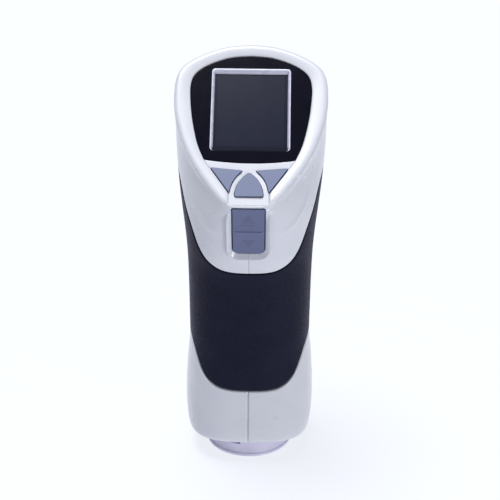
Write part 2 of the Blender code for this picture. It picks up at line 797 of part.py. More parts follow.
def keys(finish_material):
    made = []
    for name, points in key_outlines().items():
        flange_top = -BEZEL_HEIGHT
        flange_foot = flange_top - KEY_FLANGE
        stem = prism(name, points, FACE, flange_top - KEY_FLANGE / 2, KEY_RISE - PANEL_RECESS,
                     KEY_EDGE)
        flange_outline = offset_outline(points, KEY_FLANGE_WIDTH)
        flange = prism("flange", flange_outline, FACE, flange_foot, flange_top)
        key = joined(stem, flange)
        middle = middle_of(points)
        pivot = FACE @ Vector((middle.x, middle.y, -PANEL_RECESS))
        made.append(finish(key, name, finish_material, pivot))
    return made


def face_screw_frames():
    """Four places beside the screen, each a frame square to the face."""
    frames = []
    for x_share, s_share in FRAME_SCREW_SHARES:
        for side in (-1, 1):
            place = Vector((side * x_share * HALF_WIDTH, s_share * FACE_LENGTH, 0))
            frames.append(frame_at(FACE @ place, X_AXIS, FACE_UP))
    return frames


DISPLAY_BOARD_TOP = BEZEL_HEIGHT + LCD_THICKNESS + GAP
DISPLAY_BOARD_FOOT = DISPLAY_BOARD_TOP + BOARD


def face_stack(frame_material, mat_material, board_material, screw_material):
    """Carrier plate, rubber key mat, display board and the screws that hold them together."""
    plate = slab(FACE, -BEZEL_HEIGHT - FACE_FRAME, -BEZEL_HEIGHT)
    cut(plate, prism("lcd_hole", lcd_outline(GAP), FACE, -BODY_DEPTH, BODY_DEPTH))
    for points in key_outlines().values():
        hole = offset_outline(points, KEY_FLANGE_WIDTH + GAP)
        cut(plate, prism("key_pocket", hole, FACE, -BODY_DEPTH, BODY_DEPTH))
    seated(plate)
    mat_top = -BEZEL_HEIGHT - KEY_FLANGE - KEY_TRAVEL - GAP
    screen_foot = SCREEN_CENTRE_SHARE * FACE_LENGTH - SCREEN_HEIGHT / 2 - LCD_MARGIN - GAP * 2
    mat = slab(FACE, mat_top - MAT_THICKNESS, mat_top, foot=KEY_FIELD_SHARES[0][1] * FACE_LENGTH,
               top=screen_foot)
    seated(mat)
    board = slab(FACE, -DISPLAY_BOARD_FOOT, -DISPLAY_BOARD_TOP,
                 foot=KEY_FIELD_SHARES[1][1] * FACE_LENGTH - KEY_STRIP)
    seated(board)
    screws = []
    shank_top = -BEZEL_HEIGHT - FACE_FRAME / 4
    for frame in face_screw_frames():
        hole = circle(SCREW_RADIUS + GAP)
        cut(plate, prism("hole", hole, frame, -BODY_DEPTH, shank_top + GAP))
        cut(board, prism("hole", hole, frame, -BODY_DEPTH, BODY_DEPTH))
        seat = -DISPLAY_BOARD_FOOT - GAP
        head = prism("head", circle(SCREW_HEAD_RADIUS), frame, seat - SCREW_HEAD, seat)
        shank = prism("shank", circle(SCREW_RADIUS), frame, seat - SCREW_HEAD / 2, shank_top)
        screws.append(joined(head, shank))
    finish(plate, "face_frame", frame_material)
    finish(mat, "keypad_mat", mat_material)
    finish(board, "display_board", board_material)
    finish_each(screws, "face_screw", screw_material)


# Rocker with its pin, bracket, switches and board

def rocker_mechanism(key_material, steel, frame_material, switch_material, board_material):
    plate_foot = ROCKER_RISE - ROCKER_THICKNESS
    key = prism("rocker_key", rocker_outline(), ROCKER, plate_foot, ROCKER_RISE, KEY_EDGE)
    lug_foot = -ROCKER_PIN_DEPTH - ROCKER_LUG_LENGTH / 2
    lug = prism("lug", rectangle(ROCKER_LUG_WIDTH, ROCKER_LUG_LENGTH), ROCKER, lug_foot,
                plate_foot + KEY_EDGE)
    joined(key, lug)
    pin_place = ROCKER @ Vector((0, 0, -ROCKER_PIN_DEPTH))
    pin_frame = along_x(pin_place)
    bore = prism("bore", circle(ROCKER_PIN_RADIUS + GAP), pin_frame, -HALF_WIDTH, HALF_WIDTH)
    combine(key, bore, "DIFFERENCE", keep=True)
    pivot = pin_place
    ear_inside = ROCKER_LUG_WIDTH / 2 + GAP
    ear_outside = ear_inside + ROCKER_EAR
    bracket_foot = -ROCKER_BOARD_DEPTH + GAP
    web_top = lug_foot - GAP * 1.5
    bracket = prism("rocker_bracket", rectangle(ear_outside * 2, ROCKER_EAR_LENGTH), ROCKER,
                    bracket_foot, plate_foot - GAP * 2)
    gap_block = prism("gap_block", rectangle(ear_inside * 2, ROCKER_EAR_LENGTH * 2), ROCKER,
                      web_top, OVERRUN)
    cut(bracket, gap_block, bore)
    pin = prism("rocker_pin", circle(ROCKER_PIN_RADIUS), pin_frame, -ear_outside, ear_outside)
    fold_clear = DISPLAY_BOARD_FOOT
    board = slab(ROCKER, -ROCKER_BOARD_DEPTH - BOARD, -ROCKER_BOARD_DEPTH,
                 foot=-ROCKER_LENGTH / 2, top=ROCKER_LENGTH / 2 - fold_clear)
    seated(board)
    switches = []
    body_foot = -ROCKER_BOARD_DEPTH + GAP
    body_top = body_foot + SWITCH_BODY
    for side in (-1, 1):
        centre = (0, side * ROCKER_SWITCH_PITCH / 2)
        case = prism("case", rectangle(SWITCH_SIZE, SWITCH_SIZE, centre=centre), ROCKER,
                     body_foot, body_top)
        stem = prism("stem", circle(SWITCH_STEM_RADIUS, centre=centre), ROCKER,
                     body_top - SWITCH_BODY / 2, plate_foot - SWITCH_CLEARANCE)
        switches.append(joined(case, stem))
    finish(key, "rocker_key", key_material, pivot)
    finish(bracket, "rocker_bracket", frame_material)
    finish(pin, "rocker_pin", steel)
    finish(board, "rocker_board", board_material)
    finish_each(switches, "rocker_switch", switch_material)


# Handle: battery, main board and measuring button

BATTERY_BACK = back_point(DOOR_FOOT)[0].y - WALL * 2
BATTERY_FRONT = BATTERY_BACK - BATTERY_DEPTH
BACK_SURFACE, BACK_UP = back_point(DOOR_FOOT + DOOR_HEIGHT + BUTTON_LIFT)
BACK = frame_at(BACK_SURFACE, -X_AXIS, BACK_UP)


def battery_door(finish_material):
    door = common(skin("battery_door", 0.0, DOOR_THICKNESS), door_block(0, 0, 0))
    pivot = back_point(DOOR_FOOT)[0]
    return finish(door, "battery_door", finish_material, pivot)


def battery(pack_material, holder_material):
    middle = DOOR_FOOT + DOOR_HEIGHT / 2
    place = Vector((0, BATTERY_FRONT + BATTERY_DEPTH / 2, middle - BATTERY_LENGTH / 2))
    frame = Matrix.Translation(place)
    outline = rectangle(BATTERY_WIDTH, BATTERY_DEPTH, (BATTERY_DEPTH / 2 - GAP,) * 4, steps=6)
    pack = prism("battery_pack", outline, frame, 0, BATTERY_LENGTH, GAP * 2)
    reach = GAP + HOLDER_WALL
    low = (-BATTERY_WIDTH / 2 - reach, BATTERY_FRONT - reach, middle - BATTERY_LENGTH / 2 - reach)
    high = (BATTERY_WIDTH / 2 + reach, BODY_DEPTH, middle + BATTERY_LENGTH / 2 + reach)
    holder = cut(box("battery_holder", low, high), battery_block(GAP))
    seated(holder)
    finish(pack, "battery_pack", pack_material)
    finish(holder, "battery_holder", holder_material)


def measuring_button(button_material, switch_material, board_material):
    flange_top = -WALL - BUTTON_SEAT
    flange_foot = flange_top - BUTTON_FLANGE
    button = prism("measure_button", button_outline(), BACK, flange_top - BUTTON_FLANGE / 2,
                   BUTTON_RISE, BUTTON_EDGE)
    joined(button, prism("flange", button_outline(BUTTON_FLANGE_WIDTH), BACK, flange_foot,
                         flange_top))
    stem_top = flange_foot - BUTTON_TRAVEL - GAP
    board_top = stem_top - SWITCH_HEIGHT - GAP
    case = prism("measure_switch", rectangle(SWITCH_SIZE, SWITCH_SIZE), BACK, board_top + GAP,
                 board_top + GAP + SWITCH_BODY)
    joined(case, prism("stem", circle(SWITCH_STEM_RADIUS), BACK, board_top + SWITCH_BODY / 2,
                       stem_top))
    board = slab(BACK, board_top - BOARD, board_top, foot=-BUTTON_HEIGHT / 2,
                 top=BUTTON_HEIGHT / 2)
    seated(board)
    for place in screw_places():
        boss_room = prism("boss_room", circle(BOSS_RADIUS + GAP), along_x(place), -HALF_WIDTH,
                          HALF_WIDTH)
        cut(board, boss_room)
    finish(button, "measure_button", button_material, BACK_SURFACE)
    finish(case, "measure_switch", switch_material)
    finish(board, "trigger_board", board_material)


def main_board(finish_material):
    front = ring_ends(BODY_STATION_SHARES[6])[0].y + MAIN_BOARD_SETBACK
    low = (-BODY_WIDTH, front, MAIN_BOARD_FOOT)
    board = seated(box("main_board", low, (BODY_WIDTH, front + BOARD, MAIN_BOARD_TOP)))
    return finish(board, "main_board", finish_material)


def case_screws(finish_material):
    screws = []
    for place in screw_places():
        seat = flank_x(place.y, place.z) - CASE_SCREW_SEAT + GAP
        frame = along_x(place)
        head = prism("head", circle(SCREW_HEAD_RADIUS), frame, seat, seat + SCREW_HEAD)
        shank = prism("shank", circle(SCREW_RADIUS), frame, seat - CASE_SCREW_LENGTH,
                      seat + SCREW_HEAD / 2)
        screws.append(joined(head, shank))
    finish_each(screws, "case_screw", finish_material)


# Flanks of the foot: slide switch on the left, socket and flap on the right

def flank_frame(side):
    """On the flank, third axis outwards, second axis up."""
    place = Vector((side * flank_x(FLANK_SETBACK, FLANK_HEIGHT), FLANK_SETBACK, FLANK_HEIGHT))
    return frame_at(place, Vector((0, side, 0)), Z_AXIS)


def slider_slot(grow_y, grow_z):
    height = SLIDER_HEIGHT + SLIDER_TRAVEL
    return rectangle(SLIDER_WIDTH + 2 * grow_y, height + 2 * grow_z,
                     centre=(0, SLIDER_TRAVEL / 2))


def slider_spaces():
    frame = flank_frame(-1)
    slot = prism("slider_slot", slider_slot(GAP, GAP), frame, -WALL * 2, OVERRUN)
    return [slot]


def power_slide(slider_material, switch_material):
    frame = flank_frame(-1)
    stem_foot = -WALL - GAP * 2 - SLIDER_FLANGE
    slider = prism("power_slider", rectangle(SLIDER_WIDTH, SLIDER_HEIGHT), frame, stem_foot,
                   SLIDER_RISE, KEY_EDGE)
    switch_top = stem_foot - GAP
    switch_outline = rectangle(POWER_BODY_WIDTH, SLIDER_HEIGHT + 2 * SLIDER_TRAVEL,
                               centre=(0, SLIDER_TRAVEL / 2))
    switch = prism("power_switch", switch_outline, frame, switch_top - POWER_BODY_DEPTH,
                   -WALL - GAP)
    room = prism("room", slider_slot(GAP, GAP), frame, switch_top, OVERRUN)
    cut(switch, room)
    seated(switch)
    pivot = frame @ Vector((0, 0, 0))
    finish(slider, "power_slider", slider_material, pivot)
    finish(switch, "power_switch", switch_material)


def flap_block(gap, top_gap):
    x = flank_x(FLANK_SETBACK, FLANK_HEIGHT)
    low = (x / 2, FLANK_SETBACK - FLAP_WIDTH / 2 - gap, FLANK_HEIGHT - FLAP_HEIGHT / 2 - gap)
    high = (BODY_WIDTH, FLANK_SETBACK + FLAP_WIDTH / 2 + gap,
            FLANK_HEIGHT + FLAP_HEIGHT / 2 + top_gap)
    return box("flap_block", low, high)


def socket_outline(grow=0.0):
    return rectangle(SOCKET_WIDTH + 2 * grow, SOCKET_HEIGHT + 2 * grow)


def flap_spaces():
    recess = common(skin("flap_recess", -SKIN_CLEAR, FLAP_THICKNESS + GAP),
                    flap_block(GAP, FLAP_TOP_GAP))
    mouth = prism("mouth", socket_outline(GAP), flank_frame(1), -WALL * 2, OVERRUN)
    return [recess, mouth]


def socket_and_flap(flap_material, shell_material):
    flap = common(skin("port_flap", 0.0, FLAP_THICKNESS), flap_block(0, 0))
    foot = FLANK_HEIGHT - FLAP_HEIGHT / 2
    pivot = Vector((flank_x(FLANK_SETBACK, foot), FLANK_SETBACK, foot))
    frame = flank_frame(1)
    mouth = -FLAP_THICKNESS - SOCKET_SETBACK
    socket = prism("usb_socket", socket_outline(), frame, mouth - SOCKET_DEPTH, mouth)
    inside = prism("inside", socket_outline(-SOCKET_SHELL), frame,
                   mouth - SOCKET_DEPTH + SOCKET_SHELL, OVERRUN)
    cut(socket, inside)
    finish(flap, "port_flap", flap_material, pivot)
    finish(socket, "usb_socket", shell_material)


# Measuring optics and the calibration cap

NOSE_FOOT = CAP_FLOOR + TILE_THICKNESS + 2 * GAP
NOSE_FLANGE_FOOT = BASE_Z + FLOOR + GAP
NOSE_FLANGE_TOP = NOSE_FLANGE_FOOT + NOSE_WALL
SPHERE_Z = NOSE_FOOT + NOSE_WALL + GAP + math.sqrt(SPHERE_RADIUS ** 2 - PORT_RADIUS ** 2)


def nose_screw_frames():
    radius = NOSE_RADIUS + NOSE_FLANGE_WIDTH / 2
    frames = []
    for k in range(3):
        turn = k * math.pi * 2 / 3
        place = Vector((radius * math.cos(turn), radius * math.sin(turn), BASE_Z + FLOOR))
        frames.append(Matrix.Translation(place))
    return frames


def port_ring(finish_material, screw_material):
    inner = NOSE_RADIUS - NOSE_WALL
    outer = NOSE_RADIUS + NOSE_FLANGE_WIDTH
    flare = APERTURE_RADIUS + APERTURE_FLARE
    profile = (
        (APERTURE_RADIUS, NOSE_FOOT), (NOSE_RADIUS - NOSE_EDGE, NOSE_FOOT),
        (NOSE_RADIUS, NOSE_FOOT + NOSE_EDGE), (NOSE_RADIUS, NOSE_FLANGE_FOOT),
        (outer, NOSE_FLANGE_FOOT), (outer, NOSE_FLANGE_TOP), (inner, NOSE_FLANGE_TOP),
        (inner, NOSE_FOOT + NOSE_WALL), (flare, NOSE_FOOT + NOSE_WALL),
    )
    nose = turned("port_ring", profile, Vector((0, 0, 0)))
    screws = []
    for frame in nose_screw_frames():
        cut(nose, prism("hole", circle(SCREW_RADIUS + GAP), frame, 0, OVERRUN * 2))
        seat = NOSE_FLANGE_TOP + GAP - BASE_Z - FLOOR
        head = prism("head", circle(SCREW_HEAD_RADIUS - GAP), frame, seat, seat + SCREW_HEAD)
        shank = prism("shank", circle(SCREW_RADIUS), frame, -NOSE_SCREW_BITE,
                      seat + SCREW_HEAD / 2)
        screws.append(joined(head, shank))
    finish(nose, "port_ring", finish_material)
    finish_each(screws, "port_screw", screw_material)


def sphere_half(name, side, finish_material):
    """Half of the integrating sphere, with a round port at its pole and a flange at its rim."""
    steps = SPHERE_STEPS
    split = GAP / 2 * side
    flange = split + SPHERE_FLANGE * side
    inner_radius = SPHERE_RADIUS - SPHERE_WALL
    port_angle = math.asin(PORT_RADIUS / SPHERE_RADIUS)
    inner_port_angle = math.asin(PORT_RADIUS / inner_radius)
    start = math.asin(abs(flange) / SPHERE_RADIUS)
    profile = [(SPHERE_RADIUS + SPHERE_FLANGE_WIDTH, split),
               (SPHERE_RADIUS + SPHERE_FLANGE_WIDTH, flange)]
    for k in range(steps + 1):
        turn = start + (math.pi / 2 - port_angle - start) * k / steps
        profile.append((SPHERE_RADIUS * math.cos(turn), side * SPHERE_RADIUS * math.sin(turn)))
    start = math.asin(abs(split) / inner_radius)
    for k in range(steps, -1, -1):
        turn = start + (math.pi / 2 - inner_port_angle - start) * k / steps
        profile.append((inner_radius * math.cos(turn), side * inner_radius * math.sin(turn)))
    half = turned(name, profile, Vector((0, 0, SPHERE_Z)))
    return finish(half, name, finish_material)


def optics(frame_material, sphere_material, board_material, tube_material, lens_material):
    origin = Vector((0, 0, 0))
    sphere_half("sphere_lower", -1, sphere_material)
    sphere_half("sphere_upper", 1, sphere_material)
    plate_top = SPHERE_Z - GAP / 2 - SPHERE_FLANGE - GAP
    low = (-BODY_WIDTH, -BODY_DEPTH, plate_top - FRAME_PLATE)
    plate = box("optics_frame", low, (BODY_WIDTH, BODY_DEPTH, plate_top))
    drop = SPHERE_Z - plate_top
    hole = math.sqrt(SPHERE_RADIUS ** 2 - drop ** 2) + GAP
    cut(plate, turned("sphere_hole", ((0, 0), (hole, 0), (hole, BODY_HEIGHT), (0, BODY_HEIGHT)),
                      origin))
    seated(plate)
    ring_inner = SENSOR_TUBE_RADIUS + GAP
    ring_foot = SPHERE_Z + math.sqrt(SPHERE_RADIUS ** 2 - ring_inner ** 2) + GAP
    led = turned("led_ring", ((ring_inner, ring_foot), (ring_inner + LED_RING_WIDTH, ring_foot),
                              (ring_inner + LED_RING_WIDTH, ring_foot + BOARD),
                              (ring_inner, ring_foot + BOARD)), origin)
    tube_foot = SPHERE_Z + math.sqrt(SPHERE_RADIUS ** 2 - PORT_RADIUS ** 2) + GAP
    tube_top = tube_foot + SENSOR_TUBE_LENGTH
    tube = turned("sensor_tube", ((SENSOR_TUBE_BORE, tube_foot), (SENSOR_TUBE_RADIUS, tube_foot),
                                  (SENSOR_TUBE_RADIUS, tube_top), (SENSOR_TUBE_BORE, tube_top)),
                  origin)
    lens_radius = SENSOR_TUBE_BORE - GAP
    lens_foot = tube_foot + SENSOR_TUBE_LENGTH / 2
    lens_edge = lens_foot + LENS_CROWN
    lens_top = lens_foot + LENS_THICKNESS
    radius_share, crown_share = LENS_BREAK_SHARES
    middle = (lens_radius * radius_share, lens_foot + LENS_CROWN * crown_share)
    lens = turned("sensor_lens", ((0, lens_foot), middle, (lens_radius, lens_edge),
                                  (lens_radius, lens_top), (0, lens_top)), origin)
    board_foot = tube_top + GAP
    board = seated(box("sensor_board", (-BODY_WIDTH, -BODY_DEPTH, board_foot),
                       (BODY_WIDTH, BODY_DEPTH, board_foot + BOARD)))
    finish(plate, "optics_frame", frame_material)
    finish(led, "led_ring", board_material)
    finish(tube, "sensor_tube", tube_material)
    finish(lens, "sensor_lens", lens_material)
    finish(board, "sensor_board", board_material)


def calibration_cap(cap_material, tile_material):
    inner = NOSE_RADIUS + CAP_TRAVEL_CLEAR
    outer = inner + CAP_WALL
    rim = outer + CAP_RIM_WIDTH
    profile = (
        (0, 0), (rim - CAP_EDGE, 0), (rim, CAP_EDGE), (rim, CAP_RIM_HEIGHT - CAP_EDGE / 2),
        (outer + CAP_TAPER, CAP_RIM_HEIGHT), (outer, CAP_HEIGHT - CAP_EDGE),
        (outer - CAP_EDGE, CAP_HEIGHT), (inner + CAP_EDGE, CAP_HEIGHT),
        (inner, CAP_HEIGHT - CAP_EDGE), (inner, CAP_FLOOR), (0, CAP_FLOOR),
    )
    cap = turned("calibration_cap", profile, Vector((0, 0, 0)), ROUND_STEPS + HOLE_STEPS)
    tile_foot = CAP_FLOOR + GAP
    tile = turned("white_tile", ((0, tile_foot), (inner - GAP, tile_foot),
                                 (inner - GAP, tile_foot + TILE_THICKNESS),
                                 (0, tile_foot + TILE_THICKNESS)), Vector((0, 0, 0)))
    finish(cap, "calibration_cap", cap_material, Vector((0, 0, 0)))
    finish(tile, "white_tile", tile_material)
    tile.parent = cap


def build():
    clear_scene()
    white = material("white_gloss", (0.80, 0.83, 0.87), 0.28)
    black = material("black_gloss", (0.006, 0.006, 0.012), 0.08)
    grip = material("navy_rubber", (0.020, 0.022, 0.045), 0.55)
    key_blue = material("key_blue", (0.22, 0.26, 0.42), 0.35)
    rocker_blue = material("rocker_blue", (0.12, 0.135, 0.24), 0.35)
    silver = material("silver_trim", (0.62, 0.63, 0.70), 0.25, 0.6)
    lcd = material("lcd_glass", (0.032, 0.038, 0.065), 0.10)
    cap = material("cap_plastic", (0.50, 0.50, 0.63), 0.40)
    dark = material("inner_plastic", (0.05, 0.05, 0.055), 0.5)
    board = material("circuit_board", (0.02, 0.16, 0.06), 0.45)
    steel = material("steel", (0.60, 0.60, 0.62), 0.3, 1.0)
    rubber = material("soft_rubber", (0.30, 0.31, 0.34), 0.7)
    pack = material("battery_wrap", (0.03, 0.10, 0.30), 0.4)
    ceramic = material("white_standard", (0.90, 0.90, 0.90), 0.15)
    coating = material("sphere_coating", (0.85, 0.85, 0.83), 0.9)
    glass = material("lens_glass", (0.75, 0.80, 0.82), 0.02)

    housing_halves(white)
    grip_sleeve(grip)
    bezel(white)
    window_mask(black)
    screen_trim(silver)
    lcd_panel(lcd)
    key_panel(white)
    keys(key_blue)
    face_stack(dark, rubber, board, steel)
    rocker_mechanism(rocker_blue, steel, dark, dark, board)
    battery_door(grip)
    battery(pack, dark)
    measuring_button(rocker_blue, dark, board)
    main_board(board)
    case_screws(steel)
    power_slide(dark, dark)
    socket_and_flap(grip, steel)
    port_ring(dark, steel)
    optics(dark, coating, board, dark, glass)
    calibration_cap(cap, ceramic)


build()
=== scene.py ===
import bisect
import math

import bmesh
import bpy
from mathutils import Matrix, Vector
from mathutils.bvhtree import BVHTree
from mathutils.interpolate import poly_3d_calc


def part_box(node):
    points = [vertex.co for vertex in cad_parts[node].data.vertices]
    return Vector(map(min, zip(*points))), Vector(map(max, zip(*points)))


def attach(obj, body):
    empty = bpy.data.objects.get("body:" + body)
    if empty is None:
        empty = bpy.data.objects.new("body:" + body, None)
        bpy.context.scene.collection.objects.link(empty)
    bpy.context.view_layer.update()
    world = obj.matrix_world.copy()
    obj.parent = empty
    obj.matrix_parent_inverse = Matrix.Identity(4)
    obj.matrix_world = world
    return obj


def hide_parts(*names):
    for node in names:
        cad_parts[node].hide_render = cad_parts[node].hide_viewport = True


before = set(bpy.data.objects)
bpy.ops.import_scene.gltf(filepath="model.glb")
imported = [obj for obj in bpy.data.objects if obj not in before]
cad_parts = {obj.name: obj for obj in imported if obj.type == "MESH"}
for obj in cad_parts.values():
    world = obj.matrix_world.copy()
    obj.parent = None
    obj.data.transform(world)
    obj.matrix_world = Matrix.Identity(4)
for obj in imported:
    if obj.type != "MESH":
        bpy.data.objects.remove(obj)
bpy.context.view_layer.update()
print("frame loaded with", len(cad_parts), "solids")

mm = 0.001
across = Vector((1, 0, 0))
upright = Vector((0, 0, 1))


# Finishes

def srgb(red, green, blue):
    channels = [value / 255 for value in (red, green, blue)]
    return tuple(c / 12.92 if c <= 0.04045 else ((c + 0.055) / 1.055) ** 2.4 for c in channels)


def joined(tree, node, sockets):  # a socket takes a value or another node's output
    for socket, value in sockets.items():
        if isinstance(value, bpy.types.NodeSocket):
            tree.links.new(value, node.inputs[socket])
        else:
            node.inputs[socket].default_value = value
    return node


def startFinish(name, look):
    made = bpy.data.materials.new(name)
    made.use_nodes = True
    tree = made.node_tree
    shader = joined(tree, tree.nodes["Principled BSDF"], look.get("sockets", {}))
    spot = tree.nodes.new("ShaderNodeTexCoord")
    stretch = tree.nodes.new("ShaderNodeMapping")
    joined(tree, stretch, {"Scale": look.get("stretch", (1, 1, 1)), "Vector": spot.outputs["Object"]})
    return made, tree, shader, stretch.outputs["Vector"]


def noiseAt(tree, vector, size, detail=4):
    node = tree.nodes.new("ShaderNodeTexNoise")
    return joined(tree, node, {"Scale": 1 / size, "Detail": detail, "Vector": vector}).outputs["Fac"]


def cellsAt(tree, vector, size, feature="F1"):
    node = tree.nodes.new("ShaderNodeTexVoronoi")
    node.feature = feature
    return joined(tree, node, {"Scale": 1 / size, "Vector": vector}).outputs["Distance"]


def spread(tree, value, low, high, newLow, newHigh):
    limits = {"From Min": low, "From Max": high, "To Min": newLow, "To Max": newHigh, "Value": value}
    return joined(tree, tree.nodes.new("ShaderNodeMapRange"), limits).outputs["Result"]


def arithmetic(tree, operation, *values):
    node = tree.nodes.new("ShaderNodeMath")
    node.operation = operation
    return joined(tree, node, dict(enumerate(values))).outputs[0]


def mixTones(tree, amount, first, second):
    node = tree.nodes.new("ShaderNodeMix")
    node.data_type = "RGBA"
    tones = [(*tone, 1) if isinstance(tone, tuple) else tone for tone in (first, second)]
    return joined(tree, node, {0: amount, 6: tones[0], 7: tones[1]}).outputs[2]


def bumpOn(tree, height, depth, strength):
    node = tree.nodes.new("ShaderNodeBump")
    return joined(tree, node, {"Strength": strength, "Distance": depth, "Height": height}).outputs["Normal"]


def edgeWear(tree, vector, amount):  # rubbed edges, broken up by a fine noise
    shape = tree.nodes.new("ShaderNodeNewGeometry")
    edges = spread(tree, shape.outputs["Pointiness"], 0.55, 0.62, 0, amount)
    breaks = spread(tree, noiseAt(tree, vector, 1.4 * mm), 0.35, 0.6, 0.5, 1)
    return arithmetic(tree, "MULTIPLY", edges, breaks)


def moulded(name, tone, second, edge, roughness, grain, depth, rest):
    made, tree, shader, vector = startFinish(name, rest)
    patches = spread(tree, noiseAt(tree, vector, rest.get("patch", 14) * mm, 3), 0.3, 0.7, 0, 1)
    mixed = mixTones(tree, patches, srgb(*tone), srgb(*second))
    mixed = mixTones(tree, edgeWear(tree, vector, rest.get("wear", 0.4)), mixed, srgb(*edge))
    smears = spread(tree, noiseAt(tree, vector, 5 * mm, 5), 0.3, 0.7, *roughness)
    bump = bumpOn(tree, noiseAt(tree, vector, grain * mm, 2), depth * mm, 0.3)
    joined(tree, shader, {"Base Color": mixed, "Roughness": smears, "Normal": bump})
    return made


def leather(name, look):
    made, tree, shader, vector = startFinish(name, look)
    wander = tree.nodes.new("ShaderNodeTexNoise")
    joined(tree, wander, {"Scale": 1 / look["waveSize"], "Vector": vector})
    pushed = tree.nodes.new("ShaderNodeVectorMath")
    pushed.operation = "MULTIPLY_ADD"
    joined(tree, pushed, {0: wander.outputs["Color"], 1: (look["wave"],) * 3, 2: vector})
    wrinkles = cellsAt(tree, pushed.outputs[0], look["cell"], "DISTANCE_TO_EDGE")
    pebbles = spread(tree, wrinkles, 0.02, 0.28, 0, 1)
    fine = noiseAt(tree, vector, look["cell"] / 5, 3)
    height = arithmetic(tree, "MULTIPLY_ADD", fine, 0.25, pebbles)
    patches = spread(tree, noiseAt(tree, vector, look["patch"], 3), 0.35, 0.65, 0, 1)
    tone = mixTones(tree, patches, look["tone"], look["second"])
    # painted shade: the grain's creases are darkened toward a darker tone
    tone = mixTones(tree, spread(tree, pebbles, 0, 1, look["creaseShadeAmount"], 0), tone, look["creaseShadeTone"])
    tone = mixTones(tree, edgeWear(tree, vector, look["wear"]), tone, look["edge"])
    low, high = look["roughness"]
    rough = spread(tree, height, 0, 1.2, high, low)
    bump = bumpOn(tree, height, look["grainDepth"], look["strength"])
    joined(tree, shader, {"Base Color": tone, "Roughness": rough, "Normal": bump})
    return made


def circuitBoard(name, look):
    made, tree, shader, vector = startFinish(name, look)
    askew = tree.nodes.new("ShaderNodeMapping")
    joined(tree, askew, {"Rotation": (math.radians(50), math.radians(38), 0), "Vector": vector})
    board = (*look["tone"], 1)
    tracks = joined(tree, tree.nodes.new("ShaderNodeTexBrick"), {
        "Scale": 1 / look["pitch"], "Mortar Size": 0.06, "Brick Width": 0.9, "Row Height": 0.35,
        "Color1": board, "Color2": board, "Mortar": (*look["track"], 1), "Vector": askew.outputs["Vector"],
    })
    pads = spread(tree, cellsAt(tree, vector, look["pitch"] * 1.4), 0.16, 0.2, 1, 0)
    tone = mixTones(tree, pads, tracks.outputs["Color"], look["pad"])
    bump = bumpOn(tree, tracks.outputs["Fac"], 0.03 * mm, 0.4)
    rough = spread(tree, pads, 0, 1, 0.45, 0.25)
    joined(tree, shader, {"Base Color": tone, "Roughness": rough, "Normal": bump})
    return made


finishLooks = (  # name, tone, second tone, worn edge, roughness, grain size and depth in mm, the rest
    ("whiteShell", (201, 204, 213), (197, 200, 211), (228, 230, 238), (0.27, 0.33), 0.5, 0.004,
     {"wear": 0.9, "sockets": {"Coat Weight": 0.25, "Coat Roughness": 0.12, "IOR": 1.5}}),
    ("windowBlack", (10, 11, 22), (14, 15, 28), (40, 42, 60), (0.11, 0.13), 2.5, 0.002,
     {"wear": 0.35, "sockets": {"Specular IOR Level": 0.15}}),
    ("screenDark", (24, 27, 45), (25, 29, 47), (22, 26, 42), (0.18, 0.195), 0.12, 0.002,
     {"wear": 0.1, "patch": 30, "sockets": {"Specular IOR Level": 0.2}}),
    ("screenBorder", (23, 26, 42), (24, 27, 44), (20, 22, 36), (0.16, 0.18), 0.2, 0.002,
     {"wear": 0.1, "sockets": {"Specular IOR Level": 0.2}}),
    ("trimSilver", (200, 201, 220), (194, 196, 216), (216, 217, 230), (0.24, 0.34), 0.2, 0.003,
     {"wear": 0.2, "sockets": {"Metallic": 0.15}}),
    ("keyBlue", (100, 107, 143), (96, 110, 138), (122, 130, 162), (0.36, 0.46), 0.22, 0.015, {"patch": 4}),
    ("rockerBlue", (88, 93, 133), (84, 95, 127), (116, 122, 156), (0.36, 0.46), 0.22, 0.015, {"patch": 5}),
    ("arrowBlue", (81, 88, 123), (77, 87, 116), (96, 104, 138), (0.36, 0.46), 0.22, 0.015, {"patch": 5}),
    ("capPlastic", (207, 203, 228), (201, 199, 223), (218, 216, 236), (0.34, 0.44), 0.3, 0.012, {"patch": 9}),
    ("innerPlastic", (46, 46, 50), (54, 54, 59), (92, 92, 98), (0.42, 0.6), 0.2, 0.03, {"wear": 0.5}),
    ("steel", (190, 190, 194), (172, 173, 178), (224, 224, 228), (0.2, 0.38), 0.25, 0.01,
     {"stretch": (1, 1, 6), "sockets": {"Metallic": 1.0}}),
    ("matRubber", (150, 152, 158), (140, 143, 150), (172, 174, 180), (0.62, 0.78), 0.3, 0.03, {}),
    ("batteryWrap", (32, 66, 140), (26, 56, 124), (84, 116, 184), (0.22, 0.36), 1.2, 0.06,
     {"stretch": (1, 1, 0.3)}),
    ("whiteStandard", (244, 244, 242), (238, 239, 238), (250, 250, 250), (0.08, 0.16), 0.8, 0.004,
     {"sockets": {"Coat Weight": 0.6, "Coat Roughness": 0.03}}),
    ("sphereCoating", (242, 242, 238), (234, 234, 230), (248, 248, 244), (0.85, 0.95), 0.12, 0.05, {}),
    ("lensGlass", (226, 236, 240), (220, 232, 238), (240, 246, 248), (0.01, 0.04), 2, 0.001,
     {"sockets": {"Transmission Weight": 0.9, "IOR": 1.5}}),
)
# the crease tone and its amount paint shade into the creases of the grain
gripLook = {
    "tone": srgb(20, 21, 44), "second": srgb(25, 26, 51), "creaseShadeTone": srgb(12, 13, 28),
    "edge": srgb(50, 52, 80), "creaseShadeAmount": 0.5, "wear": 0.4, "patch": 16 * mm,
    "cell": 0.72 * mm, "stretch": (0.55, 0.55, 1.4), "waveSize": 1.8 * mm, "wave": 0.9 * mm,
    "grainDepth": 0.12 * mm, "strength": 0.6, "roughness": (0.42, 0.62),
    "sockets": {"Specular IOR Level": 0.1, "Sheen Weight": 0.12, "Sheen Roughness": 0.3,
                "Sheen Tint": (0.62, 0.62, 0.95, 1)},
}
